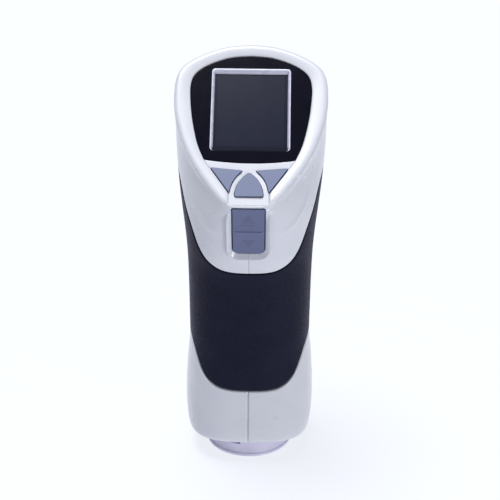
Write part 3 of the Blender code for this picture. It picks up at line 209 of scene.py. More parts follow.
boardLook = {
    "tone": srgb(22, 92, 52), "track": srgb(58, 134, 84), "pad": srgb(206, 186, 110),
    "pitch": 2.2 * mm, "sockets": {"Coat Weight": 0.3, "Coat Roughness": 0.2},
}
finishes = {look[0]: moulded(*look) for look in finishLooks}
finishes["gripRubber"] = leather("gripRubber", gripLook)
finishes["circuitBoard"] = circuitBoard("circuitBoard", boardLook)
print("finishes made:", len(finishes))


# Meshes

def madeMesh(name, points, faces):
    mesh = bpy.data.meshes.new(name)
    mesh.from_pydata([tuple(point) for point in points], [], faces)
    work = bmesh.new()
    work.from_mesh(mesh)
    bmesh.ops.recalc_face_normals(work, faces=work.faces)
    work.to_mesh(mesh)
    work.free()
    piece = bpy.data.objects.new(name, mesh)
    bpy.context.collection.objects.link(piece)
    return piece


def loft(name, rows, looped=False):  # rows are closed rings, or a single point where an end is pointed
    count = max(len(row) for row in rows)
    points, rings = [], []
    for row in rows:
        first = len(points)
        points += row
        rings.append([first + k % len(row) for k in range(count)])
    faces = []
    for here, there in zip(rings, rings[1:] + (rings[:1] if looped else [])):
        for k in range(count):
            after = (k + 1) % count
            faces.append(tuple(dict.fromkeys((here[k], here[after], there[after], there[k]))))
    if not looped:
        faces += [tuple(ring) for ring in (rings[0], rings[-1]) if ring[0] != ring[-1]]
    return madeMesh(name, points, faces)


def turned(name, profile, steps=96):  # a closed outline of radius and height about the upright axis
    rows = [[(x, y, height) for x, y in circle(radius, steps)] if radius else [(0, 0, height)]
            for radius, height in profile]
    return loft(name, rows, looped=profile[0][0] > 0)


def frameAt(origin, right, up):
    out = right.cross(up)
    rows = [(right[k], up[k], out[k], origin[k]) for k in range(3)]
    return Matrix(rows + [(0, 0, 0, 1)])


def onFrame(matrix):
    return lambda x, y, level: matrix @ Vector((x, y, level))


def grownOutline(points, distance):  # a closed outline, anticlockwise, moved outwards
    moved = []
    count = len(points)
    for k in range(count):
        before, here, after = (Vector(points[(k + j) % count]) for j in (-1, 0, 1))
        first = (here - before).normalized()
        second = (after - here).normalized()
        normalA = Vector((first.y, -first.x))
        normalB = Vector((second.y, -second.x))
        lean = max(1 + normalA.dot(normalB), 0.35)
        moved.append(here + (normalA + normalB) * (distance / lean))
    return moved


def prism(name, outline, place, low, high):
    return loft(name, [[place(p[0], p[1], level) for p in outline] for level in (low, high)])


def block(name, low, high):
    corners = ((low[0], low[1]), (high[0], low[1]), (high[0], high[1]), (low[0], high[1]))
    return prism(name, corners, onFrame(Matrix.Identity(4)), low[2], high[2])


def roundedBox(width, height, radii, centre=(0, 0), steps=8):  # radii from lower left, anticlockwise
    points = []
    for index, (sx, sy) in enumerate(((-1, -1), (1, -1), (1, 1), (-1, 1))):
        radius = radii[index]
        middle = (centre[0] + sx * (width / 2 - radius), centre[1] + sy * (height / 2 - radius))
        if radius == 0:
            points.append(middle)
            continue
        for k in range(steps + 1):
            angle = math.pi + (index + k / steps) * math.pi / 2
            points.append((middle[0] + radius * math.cos(angle), middle[1] + radius * math.sin(angle)))
    return points


def circle(radius, steps=32):
    angles = [2 * math.pi * k / steps for k in range(steps)]
    return [(radius * math.cos(a), radius * math.sin(a)) for a in angles]


def roundedEdge(edge, foot, top=0.0, steps=5):  # outline growth and level, from the foot over the edge
    rows = [(0, foot), (0, top - edge)]
    for k in range(1, steps + 1):
        angle = math.pi / 2 * k / steps
        rows.append((-edge * (1 - math.cos(angle)), top - edge * (1 - math.sin(angle))))
    rows.append((-edge * 1.15, top))
    return rows


def plate(name, outline, place, edge, crown=None, rings=9):  # rounded upper edge, and the top may swell
    rows = []
    for growth, level in edge:
        ring = grownOutline(outline, growth) if growth else [Vector(p) for p in outline]
        rows.append([place(p[0], p[1], level) for p in ring])
    if crown:
        middle = sum((Vector(p) for p in outline), Vector((0, 0))) / len(outline)
        for k in range(1, rings + 1):
            share = 1 - k / rings
            inner = [middle + (p - middle) * share for p in ring] if k < rings else [middle]
            rows.append([place(p[0], p[1], edge[-1][1] + crown(1 - share)) for p in inner])
    return loft(name, rows)


def spaced(half, edge, count):  # from side to side, close together over the rounded edges
    insets = [edge * (1 - math.cos(math.pi / 2 * k / 5)) for k in range(6)]
    reach = half - edge
    middle = [-reach + 2 * reach * k / count for k in range(1, count)]
    return [-half + inset for inset in insets] + middle + [half - inset for inset in reversed(insets)]


def slab(name, form, place, height):  # rounded plate with a free top, laid on a surface
    halfLength, edge = form["length"] / 2, form["edge"]
    footRadius, topRadius = form["corners"]
    rows = []
    for y in spaced(halfLength, edge, form["rows"]):
        radius, away = (footRadius, y + halfLength) if y < 0 else (topRadius, halfLength - y)
        half = form["width"] / 2
        if away < radius:
            half += math.sqrt(max(radius ** 2 - (radius - away) ** 2, 0)) - radius
        top, bottom = [], []
        for x in spaced(half, edge, form["columns"]):
            gap = min(half - abs(x), away, edge)
            drop = edge - math.sqrt(max(edge ** 2 - (edge - gap) ** 2, 0))
            top.append(place(x, y, form["top"] + height(x, y) - drop))
            bottom.append(place(x, y, form["top"] - form["thickness"]))
        rows.append(top + bottom[::-1])
    return loft(name, rows)


def eased(value):  # from 0 to 1, level at both ends
    t = min(max(value, 0), 1)
    return t * t * (3 - 2 * t)


def heading(path, k):  # direction of a flat path at one of its points
    before, after = path[max(k - 1, 0)], path[min(k + 1, len(path) - 1)]
    return Vector((after[0] - before[0], after[1] - before[1])).normalized()


def crossing(isBelow, low, high, steps):  # halves the span round the place where isBelow ends
    for _ in range(steps):
        middle = (low + high) / 2
        if isBelow(middle):
            low = middle
        else:
            high = middle
    return low, high


def carve(piece, *cutters, operation="DIFFERENCE"):
    for cutter in cutters:
        change = piece.modifiers.new("carve", "BOOLEAN")
        change.operation = operation
        change.solver = "MANIFOLD"
        change.object = cutter
        bpy.context.view_layer.update()
        graph = bpy.context.evaluated_depsgraph_get()
        mesh = bpy.data.meshes.new_from_object(piece.evaluated_get(graph))
        if not mesh.polygons:
            raise RuntimeError(f"nothing is left of {piece.name} after {cutter.name}")
        piece.modifiers.clear()
        piece.data = mesh
        bpy.data.objects.remove(cutter, do_unlink=True)
    return piece


def smoothLike(piece, original, sharp):  # after the cuts, the outer skin shades as it did before them
    source = original.data
    normals = [vertex.normal.copy() for vertex in source.vertices]
    places = [vertex.co.copy() for vertex in source.vertices]
    tree = BVHTree.FromPolygons(places, [tuple(face.vertices) for face in source.polygons])
    mesh = piece.data
    mesh.shade_smooth()
    mesh.set_sharp_from_angle(angle=math.radians(sharp))
    corners = [corner.vector.copy() for corner in mesh.corner_normals]
    for face in mesh.polygons:
        for loop in face.loop_indices:
            spot = mesh.vertices[mesh.loops[loop].vertex_index].co
            found, flat, index, away = tree.find_nearest(spot, 0.02 * mm)
            if found is None:
                continue
            ring = source.polygons[index].vertices
            weights = poly_3d_calc([places[v] for v in ring], found)
            smooth = sum((normals[v] * w for v, w in zip(ring, weights)), Vector()).normalized()
            if smooth.dot(face.normal) > 0.9:
                corners[loop] = smooth
    mesh.normals_split_custom_set(corners)


def dress(piece, name, finish, body="housing", nodes=(), sharp=38, original=None):
    piece.name = name
    piece.data.name = name
    piece.data.materials.clear()
    piece.data.materials.append(finishes[finish])
    piece.data.shade_smooth()
    piece.data.set_sharp_from_angle(angle=math.radians(sharp))
    if original is not None:
        smoothLike(piece, original, sharp)
        bpy.data.objects.remove(original, do_unlink=True)
    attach(piece, body)
    if nodes:
        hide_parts(*nodes)
    print("made", name, len(piece.data.polygons), "faces")
    return piece


# Body surface, the same form as the solids, in shares of the body's depth, height and half width

bodyForm = {
    "depth": 86 * mm, "height": 193 * mm, "faceHalf": 35.5 * mm,
    "halfWidth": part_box("front_bezel")[1].x, "foot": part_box("housing_right")[0].z,
    "wall": 4 * mm, "floor": 3 * mm, "columns": 110,
}
bodyStations = (  # front y and z, back y and z, half width, squareness, turn into the face's shield
    (-0.264, 0.000, 0.296, 0.000, 0.780, 3.20, 0.00),
    (-0.310, 0.012, 0.334, 0.012, 0.853, 3.00, 0.00),
    (-0.333, 0.052, 0.356, 0.052, 0.890, 2.80, 0.00),
    (-0.342, 0.109, 0.360, 0.109, 0.898, 2.70, 0.00),
    (-0.347, 0.187, 0.344, 0.197, 0.876, 2.60, 0.00),
    (-0.344, 0.265, 0.314, 0.280, 0.836, 2.60, 0.00),
    (-0.344, 0.353, 0.288, 0.374, 0.834, 2.60, 0.00),
    (-0.356, 0.431, 0.279, 0.472, 0.838, 2.60, 0.00),
    (-0.384, 0.493, 0.288, 0.555, 0.850, 2.50, 0.00),
    (-0.426, 0.539, 0.319, 0.638, 0.874, 2.45, 0.00),
    (-0.463, 0.583, 0.370, 0.721, 0.913, 2.40, 0.05),
    (-0.498, 0.627, 0.421, 0.798, 0.953, 2.40, 0.15),
    (-0.523, 0.660, 0.433, 0.871, 0.984, 2.35, 0.35),
    (-0.542, 0.682, 0.378, 0.937, 0.998, 2.30, 0.62),
    (-0.550, 0.693, 0.256, 0.981, 1.000, 2.30, 0.88),
    (-0.553, 0.698, 0.141, 0.997, 1.000, 2.30, 1.00),
)
tongueStation = 10
shieldShares = (
    (0.000, 0.000), (0.183, 0.002), (0.270, 0.014), (0.358, 0.043), (0.462, 0.096),
    (0.603, 0.176), (0.749, 0.280), (0.856, 0.380), (0.935, 0.487), (0.978, 0.576),
    (0.990, 0.667), (0.981, 0.756), (0.930, 0.826), (0.785, 0.883), (0.560, 0.935),
    (0.290, 0.972), (0.000, 0.984),
)


def smoothValue(before, start, end, after, t):
    bend = (2 * before - 5 * start + 4 * end - after) * t * t
    return 0.5 * (2 * start + (end - before) * t + bend + (3 * start - before - 3 * end + after) * t ** 3)


def smoothRow(table, position):
    index = min(int(position), len(table) - 2)
    rows = [table[min(max(index + j, 0), len(table) - 1)] for j in (-1, 0, 1, 2)]
    return tuple(smoothValue(*column, position - index) for column in zip(*rows))


def smoothPath(table, steps):
    return [smoothRow(table, k / steps) for k in range((len(table) - 1) * steps + 1)]


def evenPath(points, count):
    lengths = [0.0]
    for a, b in zip(points, points[1:]):
        lengths.append(lengths[-1] + math.dist(a, b))
    even = []
    for k in range(count + 1):
        wanted = lengths[-1] * k / count
        index = min(max(bisect.bisect_left(lengths, wanted), 1), len(points) - 1)
        t = (wanted - lengths[index - 1]) / max(lengths[index] - lengths[index - 1], 1e-12)
        even.append(tuple(a + (b - a) * t for a, b in zip(points[index - 1], points[index])))
    return even


def softened(points, passes):
    for _ in range(passes):
        inner = [tuple((a + 2 * b + c) / 4 for a, b, c in zip(*trio))
                 for trio in zip(points, points[1:], points[2:])]
        points = [points[0]] + inner + [points[-1]]
    return points


lastStation = len(bodyStations) - 1
stationSteps = 32
stationFine = smoothPath(bodyStations, stationSteps)
shieldFine = softened(evenPath(smoothPath(shieldShares, 12), 512), 160)


def between(table, place):
    place = min(max(place, 0), len(table) - 1)
    index = min(int(place), len(table) - 2)
    t = place - index
    return [a + (b - a) * t for a, b in zip(table[index], table[index + 1])]


def ringShape(row, angle):  # how far out and how far back a ring is, angle 0 in front and pi behind
    outShield, backShield = between(shieldFine, angle / math.pi * (len(shieldFine) - 1))
    power = 2 / row[5]
    out = max(math.sin(angle), 0) ** power
    back = -math.copysign(abs(math.cos(angle)) ** power, math.cos(angle))
    return out + (outShield - out) * row[6], back + (2 * backShield - 1 - back) * row[6]


def ringEnds(row, inset=0.0):
    front = Vector((0, row[0] * bodyForm["depth"], bodyForm["foot"] + row[1] * bodyForm["height"]))
    back = Vector((0, row[2] * bodyForm["depth"], bodyForm["foot"] + row[3] * bodyForm["height"]))
    along = (back - front).normalized()
    return front + along * inset, back - along * inset


def surfacePoint(position, angle, inset=0.0):  # on the right half
    row = between(stationFine, position * stationSteps)
    front, back = ringEnds(row, inset)
    out, share = ringShape(row, angle)
    return front.lerp(back, (share + 1) / 2) + across * (out * (row[4] * bodyForm["halfWidth"] - inset))


def skinPoint(position, angle, depth=0.0):
    point = surfacePoint(position, angle)
    step = 0.02
    if angle in (0, math.pi):
        sideways = across if angle == 0 else -across
    else:
        ahead = surfacePoint(position, min(angle + step, math.pi))
        sideways = ahead - surfacePoint(position, max(angle - step, 0))
    upwards = surfacePoint(position + step * 2, angle) - surfacePoint(position - step * 2, angle)
    return point - sideways.cross(upwards).normalized() * depth


def wholeRing(right):  # a right hand half row, closed by its mirror image
    return right + [Vector((-p.x, p.y, p.z)) for p in reversed(right[1:-1])]


def bodyRings(perStation, half, inset=0.0):
    rings = []
    for k in range(lastStation * perStation + 1):
        right = [surfacePoint(k / perStation, math.pi * j / half, inset) for j in range(half + 1)]
        rings.append(wholeRing(right))
    return rings


def innerBody(name, inset, extra=()):  # the body drawn in by a wall, as a closed solid
    rows = bodyRings(3, 48, inset)
    for shift in extra:
        rows.append([point + shift for point in rows[-1]])
    return loft(name, rows)


shoulderFront, shoulderBack = ringEnds(bodyStations[-1])
faceUp = (shoulderBack - shoulderFront).normalized()
faceOut = across.cross(faceUp)
faceLength = (shoulderBack - shoulderFront).length


def outerTree():
    rings = bodyRings(8, 96)
    count = len(rings[0])
    faces = []
    for k in range(len(rings) - 1):
        for j in range(count):
            after = (j + 1) % count
            faces.append((k * count + j, k * count + after, (k + 1) * count + after, (k + 1) * count + j))
    return BVHTree.FromPolygons([point for ring in rings for point in ring], faces)


bodyTree = outerTree()


def castOn(start, direction):
    return bodyTree.ray_cast(start, direction)[0]


def onBody(matrix, lift=60 * mm):  # places points on the body's surface, seen along a frame's third axis
    out = Vector(matrix.col[2][:3])
    step = 0.8 * mm

    def hit(x, y):
        return castOn(matrix @ Vector((x, y, lift)), -out) or matrix @ Vector((x, y, 0))

    def place(x, y, level):
        here = hit(x, y)
        if level == 0:
            return here
        sideways = hit(x + step, y) - hit(x - step, y)
        upwards = hit(x, y + step) - hit(x, y - step)
        return here + sideways.cross(upwards).normalized() * level
    return place


print("body surface ready, face", round(faceLength / mm, 1), "mm long")


# Grip: its two edges seen from the side, as shares of depth and height

gripForm = {
    "thickness": 1.3 * mm, "gap": 0.2 * mm, "recess": 1.6 * mm, "casingRound": 0.8 * mm,
    "gripRound": 0.6 * mm, "rows": 70, "innerRows": 24,
}
gripEdges = {
    "top": ((-0.600, 0.500), (-0.440, 0.501), (-0.410, 0.501), (-0.392, 0.503), (-0.375, 0.510),
            (-0.357, 0.531), (-0.340, 0.563), (-0.317, 0.612), (-0.278, 0.657), (-0.222, 0.698),
            (-0.140, 0.724), (0.000, 0.740), (0.256, 0.751), (0.698, 0.765)),
    "foot": ((-0.600, 0.168), (-0.420, 0.168), (-0.375, 0.168), (-0.335, 0.173), (-0.297, 0.193),
             (-0.263, 0.218), (-0.229, 0.245), (-0.182, 0.271), (-0.110, 0.290), (0.050, 0.302),
             (0.698, 0.305)),
}
edgeCurves = {}
edgePlaces = {}


def edgeCurve(name, away):  # the edge moved away from the grip by a distance
    if (name, away) not in edgeCurves:
        fine = smoothPath(gripEdges[name], 8)
        fine = [(y * bodyForm["depth"], bodyForm["foot"] + z * bodyForm["height"]) for y, z in fine]
        rise = away if name == "top" else -away
        moved = []
        for k, (y, z) in enumerate(fine):
            along = heading(fine, k)
            moved.append((y - along.y * rise, z + along.x * rise))
        edgeCurves[name, away] = tuple(zip(*moved))
    return edgeCurves[name, away]


def overEdge(curve, point):
    ys, zs = curve
    index = min(max(bisect.bisect_left(ys, point.y), 1), len(ys) - 1)
    t = (point.y - ys[index - 1]) / (ys[index] - ys[index - 1])
    return point.z - zs[index - 1] - (zs[index] - zs[index - 1]) * t


def edgePlace(name, away, angle):  # where a line up the body crosses the edge
    key = (name, away, angle)
    if key not in edgePlaces:
        curve = edgeCurve(name, away)

        def isBelow(position):
            return overEdge(curve, surfacePoint(position, angle)) < 0
        low, high = 1.0, 1.5
        while isBelow(high):
            low, high = high, high + 0.5
        edgePlaces[key] = sum(crossing(isBelow, low, high, 16)) / 2
    return edgePlaces[key]


def lipRows(start, radius, floor, steps=5):  # distance from the edge and depth, from open surface down
    rows = [(start + radius * 1.3, 0.0)]
    for k in range(steps + 1):
        angle = math.pi / 2 * k / steps
        rows.append((start + radius * (1 - math.sin(angle)), radius * (1 - math.cos(angle))))
    rows.append((start, floor))
    return rows


def bodyAngles():
    count = bodyForm["columns"]
    return [math.pi * (k / count) ** 1.15 for k in range(1, count)]


# White casing, two halves that meet on the middle plane

rockerForm = {
    "width": 14.2 * mm, "length": 26.8 * mm, "corner": 2.6 * mm, "topCorner": 0.7 * mm,
    "rise": 0.4 * mm, "gap": 0.5 * mm, "lift": 1.45 * mm,
}
casingForm = {  # pairs hold for the foot and for the head
    "seam": (0.10 * mm, 0.04 * mm), "seamEdge": (0.16 * mm, 0.08 * mm), "levelTo": 2.0, "levelRows": 10,
    "footRows": 22, "waistRows": 24, "headRows": 60, "waistStation": 6, "creaseHeight": 0.55 * mm,
    "creaseWidth": 1.0 * mm, "creaseFrom": 125 * mm, "creaseTo": 150 * mm, "lipSide": 2.0 * mm,
    "lipFoot": 2.9 * mm, "lipHeight": 1.75 * mm, "lipStart": 11.0 * mm, "lipGap": 0.1 * mm,
}
lipSection = (  # shares of the way out and of the height
    (0.0, -1.2), (0.0, 0.0), (0.05, 0.06), (0.35, 0.47), (0.6, 0.82), (0.7, 0.95), (0.78, 1.0),
    (0.87, 0.95), (0.94, 0.7), (0.98, 0.35), (1.0, -0.15), (1.0, -1.2),
)
creaseLine = [(x * mm, z * mm) for x, z in (  # out and up, beside the rocker
    (26.8, 147.0), (25.7, 143.4), (24.2, 140.0), (22.5, 137.2), (20.6, 134.6), (18.6, 132.8),
    (16.3, 131.5), (13.6, 130.8), (10.6, 130.2),
)]
tongueFront = ringEnds(bodyStations[tongueStation])[0]
tongueUp = (shoulderFront - tongueFront).normalized()
rockerDrop = rockerForm["length"] / 2 + rockerForm["gap"] - rockerForm["lift"]
rockerCentre = shoulderFront - tongueUp * rockerDrop
rockerFrame = frameAt(rockerCentre, across, tongueUp)
onRocker = onFrame(rockerFrame)
cutReach = (-8 * mm, 9 * mm)  # below and above the surface that a cutter goes through
farOut = 60 * mm
screwShares = ((-0.140, 0.309), (-0.140, 0.430), (-0.140, 0.560), (0.116, 0.679))
screwForm = {"radius": 1.3 * mm, "seatRadius": 2.3 * mm, "boss": 3.4 * mm, "sink": 7.0 * mm,
             "length": 30.6 * mm}
creaseFine = evenPath(smoothPath(creaseLine, 4), 30)


def creaseAt(point):
    away, index = min((math.hypot(point.x - x, point.z - z), k) for k, (x, z) in enumerate(creaseFine))
    share = index / (len(creaseFine) - 1)
    fade = min(share * 3, 1) * min((1 - share) * 3, 1)
    return casingForm["creaseHeight"] * fade * math.exp(-(away / casingForm["creaseWidth"]) ** 2)


def alongEdge(edge, lip):  # rows turn an angle round the body into a place up it and a depth
    return [lambda a, w=away, d=depth: (edgePlace(edge, w, a), d) for away, depth in lip]


def acrossGrip(edges, away, depth, count):
    def row(a, share):
        start, end = (edgePlace(edge, away, a) for edge in edges)
        return start + (end - start) * share, depth
    return [lambda a, s=k / count: row(a, s) for k in range(1, count)]


def casingRows():
    lip = lipRows(gripForm["gap"], gripForm["casingRound"], gripForm["recess"])
    levelTo, levelRows = casingForm["levelTo"], casingForm["levelRows"]
    footRows, headRows = casingForm["footRows"], casingForm["headRows"]

    def foot(a, share):
        return levelTo + (edgePlace("foot", lip[0][0], a) - levelTo) * share, 0

    def head(a, share):
        low = edgePlace("top", lip[0][0], a)
        return low + (lastStation - low) * share, 0
    rows = [lambda a, k=k: (levelTo * k / levelRows, 0) for k in range(levelRows)]
    rows += [lambda a, s=k / footRows: foot(a, s) for k in range(footRows + 1)]
    rows += alongEdge("foot", lip[1:])
    rows += acrossGrip(("foot", "top"), lip[-1][0], gripForm["recess"], casingForm["waistRows"])
    rows += alongEdge("top", lip[:0:-1])
    return rows + [lambda a, s=k / headRows: head(a, s) for k in range(headRows + 1)]


def casingSkin():  # rows of the right half, from the front seam round to the back seam
    columns = [(0, 0), (0, 1)] + [(angle, None) for angle in bodyAngles()] + [(math.pi, 1), (math.pi, 0)]
    waist = ringEnds(bodyStations[casingForm["waistStation"]])[0].z
    rows = []
    for row in casingRows():
        points = []
        for angle, edge in columns:
            position, depth = row(angle)
            point = skinPoint(position, angle, depth)
            upper = point.z > waist
            seam, chamfer = casingForm["seam"][upper], casingForm["seamEdge"][upper]
            if edge is not None:
                point = skinPoint(position, angle, depth + chamfer * (1 - edge))
                point.x = seam + chamfer * edge
            elif depth == 0 and point.y < 0 and casingForm["creaseFrom"] < point.z < casingForm["creaseTo"]:
                point = skinPoint(position, angle, -creaseAt(point))
            points.append(point)
        rows.append(points)
    return rows


def lipPart(side):  # raised edge round the lower end of the rocker's slot, one half of it
    width, length = (rockerForm[word] + 2 * rockerForm["gap"] for word in ("width", "length"))
    radius = rockerForm["corner"] + rockerForm["gap"]
    start, lipSide, lipFoot = (casingForm[word] for word in ("lipStart", "lipSide", "lipFoot"))
    away = width / 2 + casingForm["lipGap"]
    inner = [(away, start - (start + length / 2 - radius) * k / 24) for k in range(24)]
    outer = [(away + lipSide, y) for x, y in inner]
    cornerX, cornerY = away - radius, radius - length / 2
    for angle in (math.pi / 2 * k / 12 for k in range(13)):
        inner.append((cornerX + radius * math.cos(angle), cornerY - radius * math.sin(angle)))
        outer.append((cornerX + (radius + lipSide) * math.cos(angle),
                      cornerY - (radius + lipFoot) * math.sin(angle)))
    for k in range(1, 7):
        x = cornerX * (1 - k / 6) + casingForm["seam"][1] * k / 6
        inner.append((x, -length / 2))
        outer.append((x, -length / 2 - lipFoot))
    place = onBody(rockerFrame)
    rows = []
    for k, (a, b) in enumerate(zip(inner, outer)):
        fade = eased(k / 6)
        row = []
        for share, level in lipSection:
            x, y = a[0] + (b[0] - a[0]) * share, a[1] + (b[1] - a[1]) * share
            level = level * fade - 0.2 * (1 - fade) if level > -1 else level
            row.append(place(side * x, y, level * casingForm["lipHeight"]))
        rows.append(row)
    return loft("lip", rows)


def screwPlaces():
    for y, z in screwShares:
        place = Vector((0, y * bodyForm["depth"], bodyForm["foot"] + z * bodyForm["height"]))
        side = castOn(place + across * 80 * mm, -across).x
        yield place, side


def sideFrame(place):
    return onFrame(frameAt(place, Vector((0, 1, 0)), upright))


doorForm = {"width": 43 * mm, "length": 58 * mm, "foot": 71 * mm, "corners": (2.6 * mm, 2.6 * mm),
            "edge": 0.6 * mm, "thickness": 2.6 * mm, "top": 0.0, "rows": 60, "columns": 36,
            "gap": 0.3 * mm, "topGap": 0.7 * mm}
buttonForm = {"width": 13 * mm, "height": 17 * mm, "rise": 2.0 * mm, "edge": 1.1 * mm, "dish": 0.45 * mm,
              "depth": 6.0 * mm, "lift": 13 * mm, "gap": 0.3 * mm}
flankForm = {"y": 9 * mm, "z": 31 * mm}
flapForm = {"width": 15 * mm, "length": 10 * mm, "corners": (0.6 * mm, 1.6 * mm), "edge": 0.35 * mm,
            "thickness": 1.5 * mm, "top": 0.0, "rows": 20, "columns": 24, "gap": 0.3 * mm,
            "footGap": 0.82 * mm, "topGap": 0.5 * mm}
sliderForm = {"width": 6 * mm, "length": 6 * mm, "corners": (0.9 * mm, 0.9 * mm), "edge": 0.3 * mm,
              "thickness": 6.1 * mm, "top": 0.5 * mm, "rows": 48, "columns": 14, "travel": 4 * mm,
              "gap": 0.3 * mm}
socketForm = {"width": 9 * mm, "height": 4.6 * mm, "gap": 0.3 * mm, "corner": 1.2 * mm, "from": 15 * mm}
noseForm = {"radius": 18 * mm, "wall": 2 * mm, "flange": 3.6 * mm, "foot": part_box("port_ring")[0].z,
            "top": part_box("port_ring")[1].z, "aperture": 4 * mm, "flare": 5.5 * mm}


def backFrame():  # square to the back, at the measuring button
    height = doorForm["foot"] + doorForm["length"] + buttonForm["lift"]
    low = crossing(lambda s: surfacePoint(s, math.pi).z < height, 5.0, float(lastStation), 30)[0]
    here = surfacePoint(low, math.pi)
    rising = (surfacePoint(low + 0.05, math.pi) - here).normalized()
    return frameAt(here, -across, rising)


def lookBack(x, z, level):  # x and z as they are, level outwards to the back
    return Vector((x, level, z))


def doorCutter(low):
    gap, topGap = doorForm["gap"], doorForm["topGap"]
    height = doorForm["length"] + gap + topGap
    middle = doorForm["foot"] + doorForm["length"] / 2 + (topGap - gap) / 2
    outline = roundedBox(doorForm["width"] + 2 * gap, height, (doorForm["corners"][0] + gap,) * 4, (0, middle))
    return prism("door", outline, lookBack, low, farOut)


def flapOutline():
    low, high = flapForm["corners"]
    gap, footGap, topGap = (flapForm[word] for word in ("gap", "footGap", "topGap"))
    height = flapForm["length"] + footGap + topGap
    return roundedBox(flapForm["width"] + 2 * gap, height, (low + gap, low + gap, high + gap, high + gap),
                      (flankForm["y"], flankForm["z"] + (topGap - footGap) / 2))


def lookSide(y, z, level):
    return Vector((level, y, z))


def buttonOutline(grow):
    radius = buttonForm["width"] / 2 + grow
    height = buttonForm["height"] + 2 * grow
    return roundedBox(2 * radius, height, (radius - 0.01 * mm,) * 4, steps=14)


def buttonCutter():
    return prism("buttonHole", buttonOutline(buttonForm["gap"]), onFrame(backFrame()), *cutReach)


def slotCutter():
    gap = rockerForm["gap"]
    low, high = rockerForm["corner"] + gap, rockerForm["topCorner"] + gap
    outline = roundedBox(rockerForm["width"] + 2 * gap, rockerForm["length"] + 2 * gap, (low, low, high, high))
    return prism("slot", outline, onRocker, *cutReach)


def noseScrewCutters(low, high):
    reach = noseForm["radius"] + noseForm["flange"] / 2
    cutters = []
    for angle in (2 * math.pi * k / 3 for k in range(3)):
        centre = Vector((reach * math.cos(angle), reach * math.sin(angle), 0))
        place = onFrame(Matrix.Translation(centre))
        cutters.append(prism("bore", circle(screwForm["radius"]), place, low, high))
    return cutters


def flankCutters(side):
    if side > 0:
        recess = prism("recess", flapOutline(), lookSide, socketForm["from"], farOut)
        carve(recess, innerBody("recessFloor", flapForm["thickness"] + flapForm["gap"]))
        width, height = (socketForm[word] + 2 * socketForm["gap"] for word in ("width", "height"))
        mouth = roundedBox(width, height, (socketForm["corner"],) * 4, (flankForm["y"], flankForm["z"]))
        return [recess, prism("mouth", mouth, lookSide, socketForm["from"], farOut)]
    low = flankForm["z"] - sliderForm["length"] / 2 - sliderForm["gap"]
    high = flankForm["z"] + sliderForm["length"] / 2 + sliderForm["travel"] + sliderForm["gap"]
    radius = sliderForm["corners"][0] + sliderForm["gap"]
    track = roundedBox(sliderForm["width"] + 2 * sliderForm["gap"], high - low, (radius,) * 4,
                       (flankForm["y"], (low + high) / 2))
    return [prism("track", track, lookSide, -farOut, -socketForm["from"])]


def sharedCutters():
    door = carve(doorCutter(0), innerBody("doorFloor", doorForm["thickness"] + doorForm["gap"]))
    low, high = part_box("battery_pack")
    margin = 0.3 * mm
    room = block("batteryRoom", (low.x - margin, low.y - margin, low.z - margin),
                 (high.x + margin, farOut, high.z + margin))
    nose = prism("noseHole", circle(noseForm["radius"] + 0.3 * mm, 96), onFrame(Matrix.Identity(4)), 0,
                 bodyForm["foot"] + bodyForm["floor"] * 2)
    return [door, room, buttonCutter(), slotCutter(), nose]


def casingHalf(side, skin):
    rows = [[Vector((p.x * side, p.y, p.z)) for p in row] for row in skin]
    half, whole = loft("half", rows), loft("whole", rows)
    floorLevel = bodyForm["foot"] + bodyForm["floor"]
    cavity = innerBody("cavity", bodyForm["wall"], [faceOut * 5 * mm])
    carve(cavity, block("aboveFloor", (-0.1, -0.1, floorLevel), (0.1, 0.1, 0.3)), operation="INTERSECT")
    carve(half, cavity)
    places = list(screwPlaces())
    for place, reach in places:
        seam, inner = casingForm["seam"][0], reach - bodyForm["wall"] + 0.8 * mm
        ends = (seam, inner) if side > 0 else (-inner, -seam)
        carve(half, prism("boss", circle(screwForm["boss"]), sideFrame(place), *ends), operation="UNION")
    for place, reach in places:
        seat = reach - screwForm["sink"]
        carve(half, prism("bore", circle(screwForm["radius"]), sideFrame(place), seat - screwForm["length"],
                          seat + 0.3 * mm))
        if side > 0:
            carve(half, prism("seat", circle(screwForm["seatRadius"]), sideFrame(place), seat, farOut))
    carve(half, *sharedCutters(), *noseScrewCutters(floorLevel - 2.5 * mm, floorLevel + 1 * mm))
    carve(half, *flankCutters(side))
    return carve(half, lipPart(side), operation="UNION"), whole


skin = casingSkin()
for side, word in ((-1, "left"), (1, "right")):
    half, whole = casingHalf(side, skin)
    dress(half, "casing_" + word, "whiteShell", nodes=["housing_" + word], original=whole)


# Rubber grip

def gripSkin():
    lip = lipRows(-gripForm["gap"], -gripForm["gripRound"], gripForm["thickness"])
    lip = [(away, abs(depth)) for away, depth in lip]
    rows = alongEdge("foot", lip[::-1])
    rows += acrossGrip(("foot", "top"), lip[0][0], 0, gripForm["rows"])
    rows += alongEdge("top", lip)
    rows += acrossGrip(("top", "foot"), lip[-1][0], gripForm["thickness"], gripForm["innerRows"])
    made = []
    for row in rows:
        places = [(angle, *row(angle)) for angle in [0] + bodyAngles() + [math.pi]]
        made.append(wholeRing([skinPoint(position, angle, depth) for angle, position, depth in places]))
    return made


gripRows = gripSkin()
grip, wholeGrip = loft("grip", gripRows, looped=True), loft("whole", gripRows, looped=True)
carve(grip, doorCutter(5 * mm), buttonCutter())
dress(grip, "grip", "gripRubber", nodes=["grip_sleeve"], original=wholeGrip)


# Face: rim, window, screen and keys

